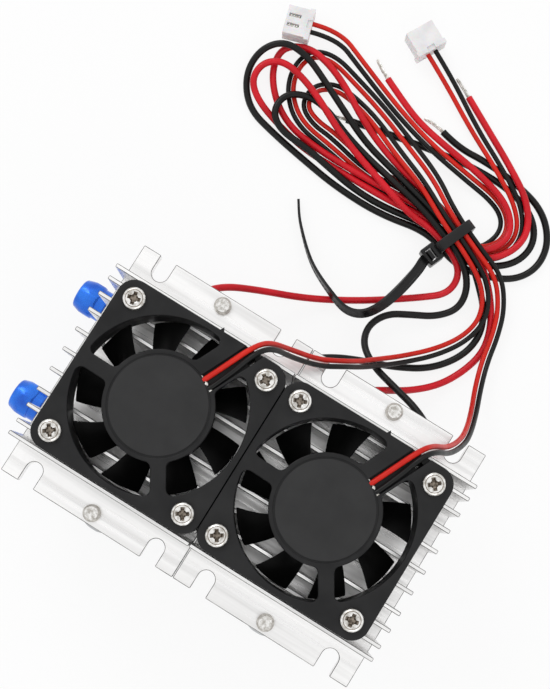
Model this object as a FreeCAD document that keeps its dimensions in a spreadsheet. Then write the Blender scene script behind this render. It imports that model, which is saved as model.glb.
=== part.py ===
import FreeCAD, Part
import math
import os
import re
import Sketcher

# Thermoelectric cooling module: two finned sinks with a fan each, on one water block.
# Millimetres. +Z is up, z = 0 is the surface that the clamp screw heads stand on.
# +X runs along the fins, the hose fittings point to -X, the wires leave towards +Y.

SIZES = {
    # heat sinks, extruded along X
    "sink_length": 44.9,
    "sink_width": 59.5,
    "sink_gap": 0.2,
    "base_thickness": 3.5,
    "fin_height": 16.5,
    "fin_thickness": 0.9,
    "fin_pitch": 5.0,
    "outer_fin_offset": 21.0,
    "fin_root_fillet": 0.8,
    "groove_clearance": 0.1,
    "notch_width": 4.0,
    "notch_margin": 2.7,
    "notch_pitch": 32.0,
    # thermoelectric coolers between sinks and block
    "plate_size": 39.7,
    "plate_gap": 0.4,
    "plate_thickness": 0.7,
    "core_size": 37.0,
    "core_height": 2.4,
    # water block and hose fittings
    "block_length": 80.0,
    "block_width": 40.0,
    "block_height": 12.0,
    "block_edge": 0.4,
    "port_offset": 13.8,
    "spigot_radius": 2.5,
    "spigot_length": 6.0,
    "port_clearance": 0.05,
    "neck_radius": 3.2,
    "neck_length": 9.0,
    "collar_radius": 3.8,
    "collar_length": 2.2,
    "nut_length": 5.1,
    "nut_base_radius": 4.3,
    "nut_nose_radius": 3.35,
    "nut_corner_ratio": 1.08,
    "hose_bore_radius": 2.0,
    "hose_bore_depth": 4.0,
    # clamps under the block
    "bar_overhang": 1.75,
    "bar_width": 10.0,
    "bar_thickness": 2.0,
    "clamp_margin": 2.55,
    "clamp_radius": 1.95,
    "thread_clearance": 0.05,
    "bar_clearance": 0.15,
    "clamp_head_radius": 3.5,
    "clamp_head_height": 2.4,
    "clamp_stand": 1.8,
    "clamp_chamfer": 0.5,
    # fans
    "fan_size": 40.0,
    "fan_height": 10.0,
    "fan_gap": 0.2,
    "fan_corner": 3.8,
    "duct_wall": 1.3,
    "hole_inset": 4.0,
    "hole_radius": 1.7,
    "hub_radius": 11.7,
    "hub_thickness": 1.6,
    "strut_width": 3.3,
    "strut_rim_overlap": 0.3,
    "strut_hub_overlap": 1.2,
    "side_strut_angle": 179.0,
    "front_strut_angle": 302.0,
    "lead_strut_width": 7.55,
    "lead_strut_offset": 0.175,
    "opening_fillet": 1.4,
    "lead_angle": 65.0,
    "lead_offset": 1.475,
    "lead_start": 10.4,
    "channel_width": 3.85,
    "channel_depth": 1.3,
    "lead_window_offset": 2.85,
    "lead_window_length": 1.8,
    "lead_window_width": 1.1,
    "nub_offset": 2.9,
    "nub_size": 1.0,
    # fan motor and rotor
    "boss_radius": 3.4,
    "boss_bottom": 3.0,
    "boss_wall": 0.8,
    "shaft_radius": 1.0,
    "shaft_clearance": 0.03,
    "shaft_gap": 0.6,
    "bearing_gap": 0.4,
    "stator_radius": 8.8,
    "stator_bore_gap": 0.05,
    "stator_bottom": 3.2,
    "board_gap": 0.2,
    "stator_poles": 4,
    "stator_slot": 2.2,
    "stator_core_radius": 5.6,
    "board_radius": 9.0,
    "board_thickness": 0.6,
    "cup_radius": 11.4,
    "cup_wall": 1.0,
    "cup_floor": 1.0,
    "cup_bottom": 0.8,
    "cup_gap": 0.5,
    "magnet_thickness": 0.95,
    "magnet_clearance": 0.05,
    "magnet_inset": 1.5,
    "blade_count": 9,
    "blade_tip_gap": 0.5,
    "blade_thickness": 0.9,
    "blade_bottom": 1.0,
    "blade_top_gap": 1.4,
    "blade_root_sweep": 24.0,
    "blade_tip_sweep": 25.0,
    "blade_lean": -6.0,
    "right_rotor_turn": 29.0,
    # fan screws, which bite between the two fins under each hole
    "screw_radius": 1.4,
    "screw_bite": 6.0,
    "screw_head_radius": 2.45,
    "screw_head_height": 1.2,
    "recess_radius": 1.6,
    "recess_width": 0.9,
    "recess_depth": 0.7,
    # wires, connectors and cable tie
    "power_wire_radius": 0.85,
    "lead_wire_radius": 0.6,
    "tip_radius": 0.45,
    "tip_length": 5.6,
    "housing_length": 6.6,
    "housing_width": 7.2,
    "housing_height": 5.0,
    "housing_flange": 1.2,
    "housing_lip": 0.4,
    "window_length": 3.0,
    "window_width": 0.9,
    "window_depth": 1.2,
    "window_offset": 1.25,
    "window_margin": 0.6,
    "contact_inset": 0.2,
    "contact_width": 0.5,
    "contact_height": 0.8,
    "band_width": 2.6,
    "band_thickness": 0.95,
    "bundle_low": -3.9,
    "bundle_high": 4.8,
    "bundle_bottom": 1.0,
    "bundle_top": 7.7,
    "band_corner": 1.0,
    "tie_head_length": 3.4,
    "tie_head_width": 4.6,
    "tie_head_height": 4.2,
    "tail_thickness": 1.0,
}

# Heights and places that follow from the sizes
DERIVED = {
    "bar_z": "clamp_head_height",
    "block_z": "bar_z + bar_thickness",
    "cooler_z": "block_z + block_height",
    "core_z": "cooler_z + plate_thickness",
    "sink_z": "core_z + core_height + plate_thickness",
    "flange_z": "sink_z + base_thickness",
    "fan_z": "flange_z + fin_height",
    "fan_top": "fan_z + fan_height",
    "port_z": "block_z + block_height / 2",
    "seam_x": "(block_length / 2 + neck_length + nut_length - sink_gap / 2 - sink_length) / 2",
    "sink_step": "(sink_gap + sink_length) / 2",
    "cooler_step": "(plate_gap + plate_size) / 2",
    "fan_step": "(fan_gap + fan_size) / 2",
    "bar_length": "sink_width + 2 * bar_overhang",
    "clamp_offset": "sink_width / 2 - clamp_margin",
    "notch_depth": "sink_width / 2 - outer_fin_offset - fin_thickness / 2 - notch_margin",
    "duct_radius": "fan_size / 2 - duct_wall",
    "hole_pitch": "fan_size - 2 * hole_inset",
    "hub_z": "fan_height - hub_thickness",
    "cup_top": "hub_z - cup_gap",
    "magnet_height": "cup_top - cup_bottom - cup_floor - magnet_inset",
    "blade_height": "hub_z - blade_bottom - blade_top_gap",
    "stator_height": "hub_z - board_gap - board_thickness - stator_bottom",
}

# Wire routes: x from the seam between the sinks, y, height; every bend is one point
WIRES = {
    "tec_wire_red_left": (
        (-31, 18.5, 18.3), (-31, 22.6, 18.3), (-29.4, 28, 16), (-26.2, 32.6, 12.2), (-19.6, 36.6, 7.4),
        (-9.4, 41.4, 2.6), (0.6, 47.2, 0.95), (8.4, 52.4, 0.95), (14.8, 57, 1.2), (19.3, 60.6, 1.7),
        (19.9, 65.2, 2.3), (17, 68.7, 3.95), (8.2, 71.9, 4), (1.6, 72, 4.6), (-7.6, 75, 4.6),
        (-17, 78.2, 3.6), (-24.4, 81.2, 3.5), (-31.6, 84.8, 4.5), (-38.6, 87.8, 3.3), (-44.4, 88.6, 3.7),
        (-48.4, 85.7, 3.6), (-48.6, 80.6, 3.2), (-44.4, 77.2, 2), (-37, 74.9, 0.95), (-28.4, 73, 0.95),
        (-18, 73.1, 0.95), (-5, 72.7, 2.3), (8.9, 73.9, 3.55), (18.2, 70.2, 3.5), (24.4, 73.6, 2.7),
        (27.9, 78.6, 3), (28.2, 84.2, 3), (24, 90.4, 3.2), (15.8, 95.9, 2.2), (6.6, 101.3, 0.95),
        (-1.2, 105.6, 0.95),
    ),
    "tec_wire_black_left": (
        (-5, 18.5, 18.3), (-5, 22.6, 18.3), (-0.4, 28, 15.8), (4.4, 32, 12), (10.2, 35.4, 6.6),
        (17.6, 38.6, 2.6), (25.2, 43, 1), (30.2, 49.4, 0.95), (31.6, 56, 0.95), (29.2, 62, 1.8),
        (23.8, 67.2, 3.4), (18.6, 71.1, 5.4), (9.3, 74.8, 5.35), (0.6, 77.2, 4.4), (-8, 79.8, 2.6),
        (-16.8, 82.2, 1.9), (-26.2, 86.4, 3.1), (-33.6, 90.2, 2.4), (-40, 92.9, 3.2), (-46.6, 93, 4.2),
        (-50.8, 88.2, 3.4), (-50.8, 81.2, 1.6), (-45.6, 74.6, 0.95), (-36.6, 72.4, 0.95),
        (-27.6, 70.8, 0.95), (-17, 69.2, 0.95), (-4.4, 69, 0.95), (7.9, 71.3, 2), (17.2, 67.7, 2),
        (25.4, 69.4, 0.95), (31.8, 72.6, 0.95), (34.9, 78.2, 0.95), (33.9, 85, 0.95), (28.4, 90.9, 0.95),
        (19.6, 93.2, 0.95), (10.6, 93.9, 0.95), (3, 93.4, 0.95), (-2.1, 94.8, 0.95),
    ),
    "tec_wire_red_right": (
        (9, 18.5, 18.3), (9, 22.6, 18.3), (13.8, 28.2, 15.4), (18.4, 31.8, 10.2), (23.6, 35.4, 4.6),
        (29, 40.6, 1.5), (32.4, 46.6, 0.95), (34.2, 53.2, 0.95), (32.6, 59.6, 1.4), (28.6, 65.4, 3),
        (24, 69.7, 4.3), (19.2, 72.8, 5.4), (9.9, 76.5, 5.3), (2.6, 78.8, 3.4), (-6, 81, 2.4),
        (-13.6, 83.6, 2.2), (-20.8, 86.8, 3), (-28, 91.4, 2.4), (-35, 94.4, 2.3), (-41.2, 95.3, 2.2),
        (-46.6, 92.2, 1.8), (-46.2, 86.4, 1.2), (-41.8, 80.4, 1), (-35, 76.1, 0.95), (-26, 74.8, 1.2),
        (-16, 74.4, 2.6), (-4, 75, 2.4), (9.6, 75.6, 3.55), (18.9, 71.9, 3.55), (24, 76.6, 3.5),
        (24.9, 82, 2.5), (20.2, 87.2, 2.9), (10.4, 90, 2.9), (0, 91.6, 2.7), (-8, 93.6, 1.2),
        (-14.4, 96.2, 0.95), (-20.5, 99.1, 0.95),
    ),
    "tec_wire_black_right": (
        (36, 18.5, 18.3), (36, 22.6, 18.3), (32.4, 28.4, 16.8), (26.8, 31.6, 14.4), (19.6, 33.6, 11.6),
        (13.4, 35.4, 9.4), (8.6, 38.8, 6.6), (7.2, 43.8, 4), (9.6, 48.8, 2.8), (14.6, 51.6, 2.9),
        (20, 54.6, 1.6), (23.8, 59.2, 1.6), (22.8, 64.8, 3.1), (17.9, 69.4, 5.35), (8.6, 73.1, 5.35),
        (1, 75.4, 4.8), (-6.6, 77.2, 3.8), (-14.6, 79.2, 2.3), (-22.4, 81.7, 1.4), (-28.8, 84.2, 2.45),
        (-34.4, 84.9, 2.3), (-39.6, 82.4, 2.5), (-40.2, 77, 2.9), (-36, 73.6, 2.9), (-27.6, 73.2, 2.9),
        (-19.5, 71.7, 2.7), (-13, 71, 1.2), (-4.6, 71, 0.95), (8.5, 73, 2), (17.8, 69.3, 2),
        (24.9, 71.9, 0.95), (30, 76.4, 0.95), (31.2, 82.6, 0.95), (27.4, 88.2, 0.95), (19.8, 90.9, 0.95),
        (10, 91.2, 0.95), (0, 89.8, 0.95), (-12, 87.6, 0.95), (-23.8, 84.9, 0.95),
    ),
    "fan_wire_red_left": (
        (-15.16, 9.17, 49.55), (-12.9, 14, 49.6), (-10.1, 20.2, 50.5), (-8, 23.6, 45.6),
        (-3.8, 25.6, 36.4), (2.2, 27.8, 28.4), (6.6, 30.6, 24.8), (9.9, 33.4, 18.2), (12.6, 36.4, 12.2),
        (17.6, 41.2, 5.6), (24, 47.8, 2.2), (28.2, 54.2, 1.6), (29.2, 60.2, 3.2), (25.6, 66.2, 5.2),
        (18.2, 70.2, 6.95), (8.9, 74.3, 6.95), (0.4, 79.4, 5.4), (-9, 83.2, 3.3), (-18, 87.4, 2.5),
        (-25.6, 89.8, 0.8), (-30.6, 89.9, 0.65), (-34.2, 87.2, 0.65), (-34, 82.9, 0.65),
        (-29.9, 81, 0.65), (-24, 80.6, 0.65), (-13, 78, 0.65), (-1, 78.9, 0.9), (10.1, 77.2, 3.05),
        (19.4, 73.3, 3.05), (24.1, 78.6, 1.3), (23.2, 84, 0.65), (18, 87.6, 0.65), (8, 88.5, 2.4),
        (-3.6, 90.4, 2.5), (-15, 94.4, 0.9), (-28, 99.6, 1), (-36.6, 102.7, 2.5), (-43.3, 100.7, 2.5),
    ),
    "fan_wire_red_right": (
        (25.04, 9.17, 49.55), (27.3, 14, 49.6), (30.1, 20.2, 50.5), (32.2, 23, 46.6), (35.2, 24.8, 38.6),
        (37.4, 27.8, 30.6), (38.6, 31.6, 22.6), (38.2, 37.6, 12.8), (36.4, 44.6, 5.4), (34.8, 51.2, 2.9),
        (33.8, 57.6, 2.9), (31.8, 63.8, 3.2), (27.2, 69.6, 5.6), (19.2, 72.6, 6.95), (9.9, 76.9, 6.85),
        (2.2, 82.4, 4.6), (-8, 86.9, 2.8), (-18, 91, 1.6), (-26.6, 93.8, 0.65), (-34.4, 95.9, 0.65),
        (-39.4, 94.4, 0.65), (-40.8, 89.6, 0.65), (-38.8, 83.6, 0.65), (-33, 78.7, 0.65),
        (-23.2, 77.3, 0.65), (-12, 75.2, 0.65), (0, 75.8, 0.65), (9.6, 75.7, 1.75), (18.9, 72, 1.75),
        (25.2, 76.2, 0.9), (26.6, 82.2, 1.1), (22.8, 87.5, 2.5), (14.2, 92.8, 2.9), (3.6, 98.6, 1.4),
        (-8.2, 105.4, 2.5), (-15.2, 109.1, 2.5),
    ),
    "fan_wire_black_left": (
        (-13.2, 8.26, 49.55), (-11.2, 12.8, 49.6), (-8.8, 19.95, 50.6), (-6.5, 22.9, 46.2),
        (-2.8, 24.2, 36.8), (3.2, 26.6, 28.8), (7.8, 29.8, 25.4), (11.1, 32.6, 18.2), (13.9, 35.4, 12.2),
        (18.8, 40.2, 5.6), (25.2, 46.8, 2.2), (29.6, 53.8, 1.6), (30.6, 60.6, 3.4), (26.6, 67.4, 5.3),
        (18.7, 71.4, 6.9), (9.4, 75.5, 6.9), (0.9, 80.6, 5), (-8.4, 84.6, 3.2), (-17.4, 88.8, 2.2),
        (-25.8, 91.2, 0.65), (-31, 91.3, 0.65), (-35.4, 88, 0.65), (-35.3, 82.3, 0.65),
        (-30.3, 79.6, 0.65), (-24.6, 79.2, 0.65), (-13.2, 76.5, 0.65), (-1, 77.2, 0.65),
        (10.1, 76.9, 1.75), (19.4, 73.2, 1.75), (22.5, 78.9, 0.65), (21.8, 83.4, 0.65),
        (17.4, 86.2, 0.65), (7.8, 87.1, 2.4), (-4, 89.1, 2.8), (-15.4, 93, 0.9), (-28.4, 98, 1),
        (-36, 100.7, 2.5), (-42.7, 98.7, 2.5),
    ),
    "fan_wire_black_right": (
        (27.0, 8.26, 49.55), (29.0, 12.8, 49.6), (31.4, 20.0, 50.6), (33.9, 22.6, 46.6),
        (36.4, 24, 38.8), (38.6, 27.2, 30.6), (39.9, 31.2, 22.6), (39.5, 37.6, 12.8), (37.7, 45, 5.4),
        (36.1, 51.6, 2.9), (35.1, 58, 2.9), (33, 64.6, 3.3), (28.2, 70.8, 5.4), (19.6, 73.8, 6.4),
        (10.3, 78.2, 6.3), (2.8, 83.8, 4.4), (-7.4, 88.3, 2.8), (-17.4, 92.4, 1.4), (-26.2, 95.2, 0.65),
        (-34.6, 97.5, 0.65), (-40.6, 95.4, 0.65), (-42.1, 89.4, 0.65), (-39.8, 82.8, 0.65),
        (-33.6, 77.4, 0.65), (-23.5, 76, 0.65), (-12.2, 73.9, 0.65), (0, 74.5, 0.65), (9.1, 74.4, 1.75),
        (18.4, 70.8, 1.75), (26.1, 74.5, 0.65), (28.1, 81.9, 1.1), (24, 88.4, 2.7), (15.2, 93.9, 2.8),
        (4.8, 99.7, 1.4), (-7.2, 107.2, 2.5), (-14.2, 110.9, 2.5),
    ),
}

# Where each connector's wire face sits (x, y, height) and the way it points, in degrees
CONNECTORS = {"left": (-43.0, 99.7, 0.0, 197.0), "right": (-14.7, 110.0, 0.0, 152.0)}

# The cable tie: middle of the bundle and the bundle's direction
TIE_PLACE = (13.6, 72.2)
TIE_ANGLE = -21.7
# Free tail: x, y, height, twist in degrees from lying flat to standing on edge, width
TIE_TAIL = (
    (11.1, 66.0, 4.3, 0, 2.6), (10.5, 64.2, 4.5, 0, 2.6), (10.3, 60.7, 5.2, 10, 2.5),
    (9.1, 54.3, 5.6, 30, 2.5), (7.3, 48.9, 5.7, 45, 2.4), (4.7, 45.4, 5.2, 55, 2.4),
    (0.9, 44.2, 4.5, 65, 2.4), (-4.1, 45.6, 4.0, 75, 2.3), (-12.2, 49.9, 2.0, 85, 2.2),
    (-19.5, 56.6, 1.4, 90, 1.8), (-23.3, 61.7, 1.2, 90, 1.0),
)


def expand(text):
    """Write an expression of aliases and derived names as one of sheet cells only."""
    def swap(match):
        word = match.group(0)
        if word in SIZES:
            return "sizes." + word
        if word in DERIVED:
            return "(" + expand(DERIVED[word]) + ")"
        return word
    return re.sub(r"[a-z_]+", swap, str(text))


def bind(thing, prop, text):
    thing.setExpression(prop, expand(text))


def value(text):
    return float(sheet.evalExpression(expand(text)))


def plane_of(body, role):
    return next(item for item in body.Origin.OriginFeatures if item.Role == role)


def new_body(name, x="0", y="0", z="0"):
    """A body whose own origin sits at the given place of the module."""
    body = doc.addObject("PartDesign::Body", name)
    body.Label = name
    for axis, text in (("x", x), ("y", y), ("z", z)):
        bind(body, "Placement.Base." + axis, text)
    return body


def new_sketch(body, name, role="XY_Plane", offset="0"):
    sketch = body.newObject("Sketcher::SketchObject", body.Name + "_" + name)
    sketch.AttachmentSupport = [(plane_of(body, role), "")]
    sketch.MapMode = "FlatFace"
    bind(sketch, "AttachmentOffset.Base.z", offset)
    return sketch


def pin_point(sketch, shape, point, x, y):
    """Hold one point of a sketch shape at (x, y) from the sketch origin."""
    for kind, text in (("DistanceX", x), ("DistanceY", y)):
        index = sketch.addConstraint(Sketcher.Constraint(kind, -1, 1, shape, point, value(text)))
        sketch.setExpression("Constraints[%d]" % index, expand(text))


def polygon(sketch, corners):
    """Closed outline through corners given as pairs of expressions."""
    places = [FreeCAD.Vector(value(x), value(y), 0) for x, y in corners]
    lines = []
    for start, end in zip(places, places[1:] + places[:1]):
        lines.append(sketch.addGeometry(Part.LineSegment(start, end), False))
    for number, line in enumerate(lines):
        following = lines[(number + 1) % len(lines)]
        sketch.addConstraint(Sketcher.Constraint("Coincident", line, 2, following, 1))
        pin_point(sketch, line, 1, *corners[number])
    return lines


def rectangle(sketch, x0, y0, x1, y1):
    return polygon(sketch, [(x0, y0), (x1, y0), (x1, y1), (x0, y1)])


def turned_rectangle(sketch, angle, start, end, middle, width):
    """Rectangle along a direction: start to end along it, centred at middle across it."""
    corners = []
    for along, across in ((start, -1), (end, -1), (end, 1), (start, 1)):
        side = "(%s + %d * (%s) / 2)" % (middle, across, width)
        corners.append((
            "(%s) * cos(%s) + %s * sin(%s)" % (along, angle, side, angle),
            "(%s) * sin(%s) - %s * cos(%s)" % (along, angle, side, angle),
        ))
    return polygon(sketch, corners)


def circle(sketch, x, y, radius):
    shape = sketch.addGeometry(
        Part.Circle(FreeCAD.Vector(value(x), value(y), 0), FreeCAD.Vector(0, 0, 1), value(radius)), False)
    pin_point(sketch, shape, 3, x, y)
    index = sketch.addConstraint(Sketcher.Constraint("Radius", shape, value(radius)))
    sketch.setExpression("Constraints[%d]" % index, expand(radius))
    return shape


def pad(body, sketch, length, name):
    feature = body.newObject("PartDesign::Pad", body.Name + "_" + name)
    feature.Profile = sketch
    bind(feature, "Length", length)
    doc.recompute()
    return feature


def pocket(body, sketch, name, depth=None, upward=False):
    """Cut a sketch out of a body, down through everything or to a depth."""
    before = body.Shape.Volume
    feature = body.newObject("PartDesign::Pocket", body.Name + "_" + name)
    feature.Profile = sketch
    feature.Reversed = upward
    if depth is None:
        feature.Type = "ThroughAll"
    else:
        bind(feature, "Length", depth)
    doc.recompute()
    if not body.Shape.Volume < before - 1e-6:
        raise RuntimeError(feature.Name + " cuts nothing")
    return feature


def revolve(body, sketch, axis, name):
    feature = body.newObject("PartDesign::Revolution", body.Name + "_" + name)
    feature.Profile = sketch
    feature.ReferenceAxis = (plane_of(body, axis), [""])
    feature.Angle = 360
    doc.recompute()
    return feature


def edges_of(feature, test):
    """Names of a feature's edges whose ends and middle pass a test."""
    names = []
    for number, edge in enumerate(feature.Shape.Edges, 1):
        if test(edge):
            names.append("Edge%d" % number)
    return names


def upright(edge):
    ends = [vertex.Point for vertex in edge.Vertexes]
    return len(ends) == 2 and abs(ends[0].x - ends[1].x) + abs(ends[0].y - ends[1].y) < 1e-6


def fillet(body, base, names, radius, name):
    feature = body.newObject("PartDesign::Fillet", body.Name + "_" + name)
    feature.Base = (base, names)
    bind(feature, "Radius", radius)
    doc.recompute()
    return feature


def chamfer(body, base, names, size, name):
    feature = body.newObject("PartDesign::Chamfer", body.Name + "_" + name)
    feature.Base = (base, names)
    bind(feature, "Size", size)
    doc.recompute()
    return feature


def polar(body, feature, count, name):
    pattern = body.newObject("PartDesign::PolarPattern", body.Name + "_" + name)
    pattern.Originals = [feature]
    pattern.Axis = (plane_of(body, "Z_Axis"), [""])
    pattern.Angle = 360
    bind(pattern, "Occurrences", count)
    body.Tip = pattern
    doc.recompute()
    return pattern


SIDES = (("left", -1), ("right", 1))
# Share of the shorter run that each bend's arc takes
ARC_SHARE = 0.45


def make_sink(side, sign):
    """Extruded sink: base with flanges, eleven fins, open slots and tapped clamp holes."""
    body = new_body("heat_sink_" + side, "seam_x + %d * sink_step" % sign, "0", "sink_z")
    half, wide = "sink_length / 2", "sink_width / 2"
    base = new_sketch(body, "base")
    rectangle(base, "-" + half, "-" + wide, half, wide)
    pad(body, base, "base_thickness", "plate")

    fins = new_sketch(body, "fins", offset="base_thickness")
    groove = "(screw_radius + fin_thickness / 2 + groove_clearance)"
    places = ["0"]
    for way in ("-1", "1"):
        places += [way + " * fin_pitch", way + " * 2 * fin_pitch", way + " * outer_fin_offset"]
        places += ["%s * (hole_pitch / 2 + %s * %s)" % (way, step, groove) for step in ("-1", "1")]
    for place in places:
        rectangle(fins, "-" + half, place + " - fin_thickness / 2", half, place + " + fin_thickness / 2")
    comb = pad(body, fins, "fin_height", "comb")

    top = value("base_thickness")
    outside = value("outer_fin_offset + fin_thickness / 2")
    roots = edges_of(comb, lambda edge: abs(edge.CenterOfMass.z - top) < 1e-4
                     and abs(abs(edge.CenterOfMass.y) - outside) < 1e-4 and edge.Length > value(half))
    fillet(body, comb, roots, "fin_root_fillet", "root")

    slots = new_sketch(body, "slots", offset="base_thickness")
    holes = new_sketch(body, "holes", offset="base_thickness")
    for way in ("-1", "1"):
        for end in ("-1", "1"):
            x = "%s * notch_pitch / 2" % end
            bottom = "%s * (sink_width / 2 - notch_depth + notch_width / 2)" % way
            rim = "%s * (sink_width / 2 + notch_width)" % way
            open_slot(slots, x, bottom, rim, "notch_width / 2")
        circle(holes, "0", way + " * clamp_offset", "clamp_radius + thread_clearance")
    pocket(body, slots, "slot_cut")
    pocket(body, holes, "clamp_hole")
    return body


def open_slot(sketch, x, bottom, rim, radius):
    """Outline of a slot with a round bottom that runs out past the rim."""
    cx, cy, cr, end = value(x), value(bottom), value(radius), value(rim)
    way = 1 if end > cy else -1
    centre = FreeCAD.Vector(cx, cy, 0)
    ring = Part.Circle(centre, FreeCAD.Vector(0, 0, 1), cr)
    angles = (math.pi, 2 * math.pi) if way > 0 else (0, math.pi)
    arc = sketch.addGeometry(Part.ArcOfCircle(ring, *angles), False)
    left, right = "%s - %s" % (x, radius), "%s + %s" % (x, radius)
    corners = [(left, bottom), (left, rim), (right, rim), (right, bottom)]
    places = [FreeCAD.Vector(value(px), value(py), 0) for px, py in corners]
    lines = []
    for start, stop in zip(places, places[1:]):
        lines.append(sketch.addGeometry(Part.LineSegment(start, stop), False))
    for number, line in enumerate(lines):
        pin_point(sketch, line, 1, *corners[number])
        if number:
            sketch.addConstraint(Sketcher.Constraint("Coincident", lines[number - 1], 2, line, 1))
    pin_point(sketch, lines[-1], 2, *corners[-1])
    first, last = (1, 2) if way > 0 else (2, 1)
    sketch.addConstraint(Sketcher.Constraint("Coincident", arc, first, lines[0], 1))
    sketch.addConstraint(Sketcher.Constraint("Coincident", arc, last, lines[-1], 2))
    index = sketch.addConstraint(Sketcher.Constraint("DistanceY", -1, 1, arc, 3, cy))
    sketch.setExpression("Constraints[%d]" % index, expand(bottom))


def make_plain_slab(name, x, z, size, height):
    body = new_body(name, x, "0", z)
    outline = new_sketch(body, "outline")
    rectangle(outline, "-%s / 2" % size, "-%s / 2" % size, size + " / 2", size + " / 2")
    pad(body, outline, height, "slab")
    return body


def make_cooler(side, sign):
    """Ceramic plate, the rows of semiconductor legs as one core, and the second plate."""
    x = "seam_x + %d * cooler_step" % sign
    make_plain_slab("cooler_hot_plate_" + side, x, "cooler_z", "plate_size", "plate_thickness")
    make_plain_slab("cooler_core_" + side, x, "core_z", "core_size", "core_height")
    make_plain_slab("cooler_cold_plate_" + side, x, "core_z + core_height", "plate_size", "plate_thickness")


def make_block():
    """Water block with two port holes in the end that carries the fittings."""
    body = new_body("water_block", "seam_x", "0", "block_z")
    outline = new_sketch(body, "outline")
    rectangle(outline, "-block_length / 2", "-block_width / 2", "block_length / 2", "block_width / 2")
    slab = pad(body, outline, "block_height", "slab")
    chamfer(body, slab, edges_of(slab, upright), "block_edge", "corner")
    ports = new_sketch(body, "ports", "YZ_Plane", "-block_length / 2")
    for way in ("-1", "1"):
        circle(ports, way + " * port_offset", "block_height / 2", "spigot_radius + port_clearance")
    pocket(body, ports, "port", "spigot_length + port_clearance", upward=True)
    return body


def make_fitting(name, way):
    """Hose fitting: spigot in the port, neck with a collar, and the nut with a hose bore."""
    x, y = "seam_x - block_length / 2", way + " * port_offset"
    body = new_body("fitting_body_" + name, x, y, "port_z")
    profile = new_sketch(body, "profile", "XZ_Plane")
    spigot = "spigot_radius - port_clearance"
    polygon(profile, [
        ("spigot_length - port_clearance", "0"),
        ("spigot_length - port_clearance", spigot),
        ("0", spigot),
        ("0", "neck_radius"),
        ("collar_length - neck_length", "neck_radius"),
        ("collar_length - neck_length", "collar_radius"),
        ("-neck_length", "collar_radius"),
        ("-neck_length", "0"),
    ])
    revolve(body, profile, "X_Axis", "turned")

    nut = new_body("fitting_nut_" + name, x + " - neck_length", y, "port_z")
    flats = new_sketch(nut, "flats", "YZ_Plane", "-nut_length")
    corners = []
    for corner in range(6):
        angle = 30 + 60 * corner
        corners.append(("nut_base_radius * nut_corner_ratio * cos(%d)" % angle,
                        "nut_base_radius * nut_corner_ratio * sin(%d)" % angle))
    polygon(flats, corners)
    pad(nut, flats, "nut_length", "hexagon")
    cone = new_sketch(nut, "cone", "XZ_Plane")
    outer = "nut_base_radius * 1.5"
    polygon(cone, [
        ("-nut_length * 0.45", "nut_base_radius"),
        ("-nut_length", "nut_nose_radius"),
        ("-nut_length * 1.2", "nut_nose_radius"),
        ("-nut_length * 1.2", outer),
        ("-nut_length * 0.45", outer),
    ])
    turn_away(nut, cone, "X_Axis", "nose")
    corner_cut = new_sketch(nut, "corners", "XZ_Plane")
    polygon(corner_cut, [
        ("0.1", "nut_base_radius"),
        ("-nut_length * 0.46", "nut_base_radius"),
        ("-nut_length * 0.46", outer),
        ("0.1", outer),
    ])
    turn_away(nut, corner_cut, "X_Axis", "rounded")
    bore = new_sketch(nut, "bore", "YZ_Plane", "-nut_length")
    circle(bore, "0", "0", "hose_bore_radius")
    pocket(nut, bore, "hose_bore", "hose_bore_depth", upward=True)
    return body, nut


def turn_away(body, sketch, axis, name):
    """Groove all round, checked to have removed material."""
    before = body.Shape.Volume
    feature = body.newObject("PartDesign::Groove", body.Name + "_" + name)
    feature.Profile = sketch
    feature.ReferenceAxis = (plane_of(body, axis), [""])
    feature.Angle = 360
    doc.recompute()
    if not body.Shape.Volume < before - 1e-6:
        raise RuntimeError(feature.Name + " cuts nothing")
    return feature


def make_clamp_bar(side, sign):
    """Flat bar across the block's underside with rounded corners and a hole at each end."""
    body = new_body("clamp_bar_" + side, "seam_x + %d * sink_step" % sign, "0", "bar_z")
    outline = new_sketch(body, "outline")
    rectangle(outline, "-bar_width / 2", "-bar_length / 2", "bar_width / 2", "bar_length / 2")
    slab = pad(body, outline, "bar_thickness", "slab")
    fillet(body, slab, edges_of(slab, upright), "bar_width * 0.45", "ends")
    holes = new_sketch(body, "holes", offset="bar_thickness")
    for way in ("-1", "1"):
        circle(holes, "0", way + " * clamp_offset", "clamp_radius + bar_clearance")
    pocket(body, holes, "hole")
    return body


def make_clamp_screws():
    """Four machine screws: head under the bar, end standing proud of the flange."""
    body = new_body("clamp_screws", "seam_x")
    heads = new_sketch(body, "heads")
    shanks = new_sketch(body, "shanks", offset="clamp_head_height")
    for end in ("-1", "1"):
        for way in ("-1", "1"):
            place = (end + " * sink_step", way + " * clamp_offset")
            circle(heads, *place, "clamp_head_radius")
            circle(shanks, *place, "clamp_radius")
    pad(body, heads, "clamp_head_height", "head")
    rods = pad(body, shanks, "flange_z + clamp_stand - clamp_head_height", "shank")
    top = value("flange_z + clamp_stand")
    rims = edges_of(rods, lambda edge: abs(edge.CenterOfMass.z - top) < 1e-4)
    tips = chamfer(body, rods, rims, "clamp_chamfer", "tip")
    feet = edges_of(tips, lambda edge: abs(edge.CenterOfMass.z) < 1e-4)
    fillet(body, tips, feet, "clamp_chamfer", "head_edge")
    return body


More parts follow.
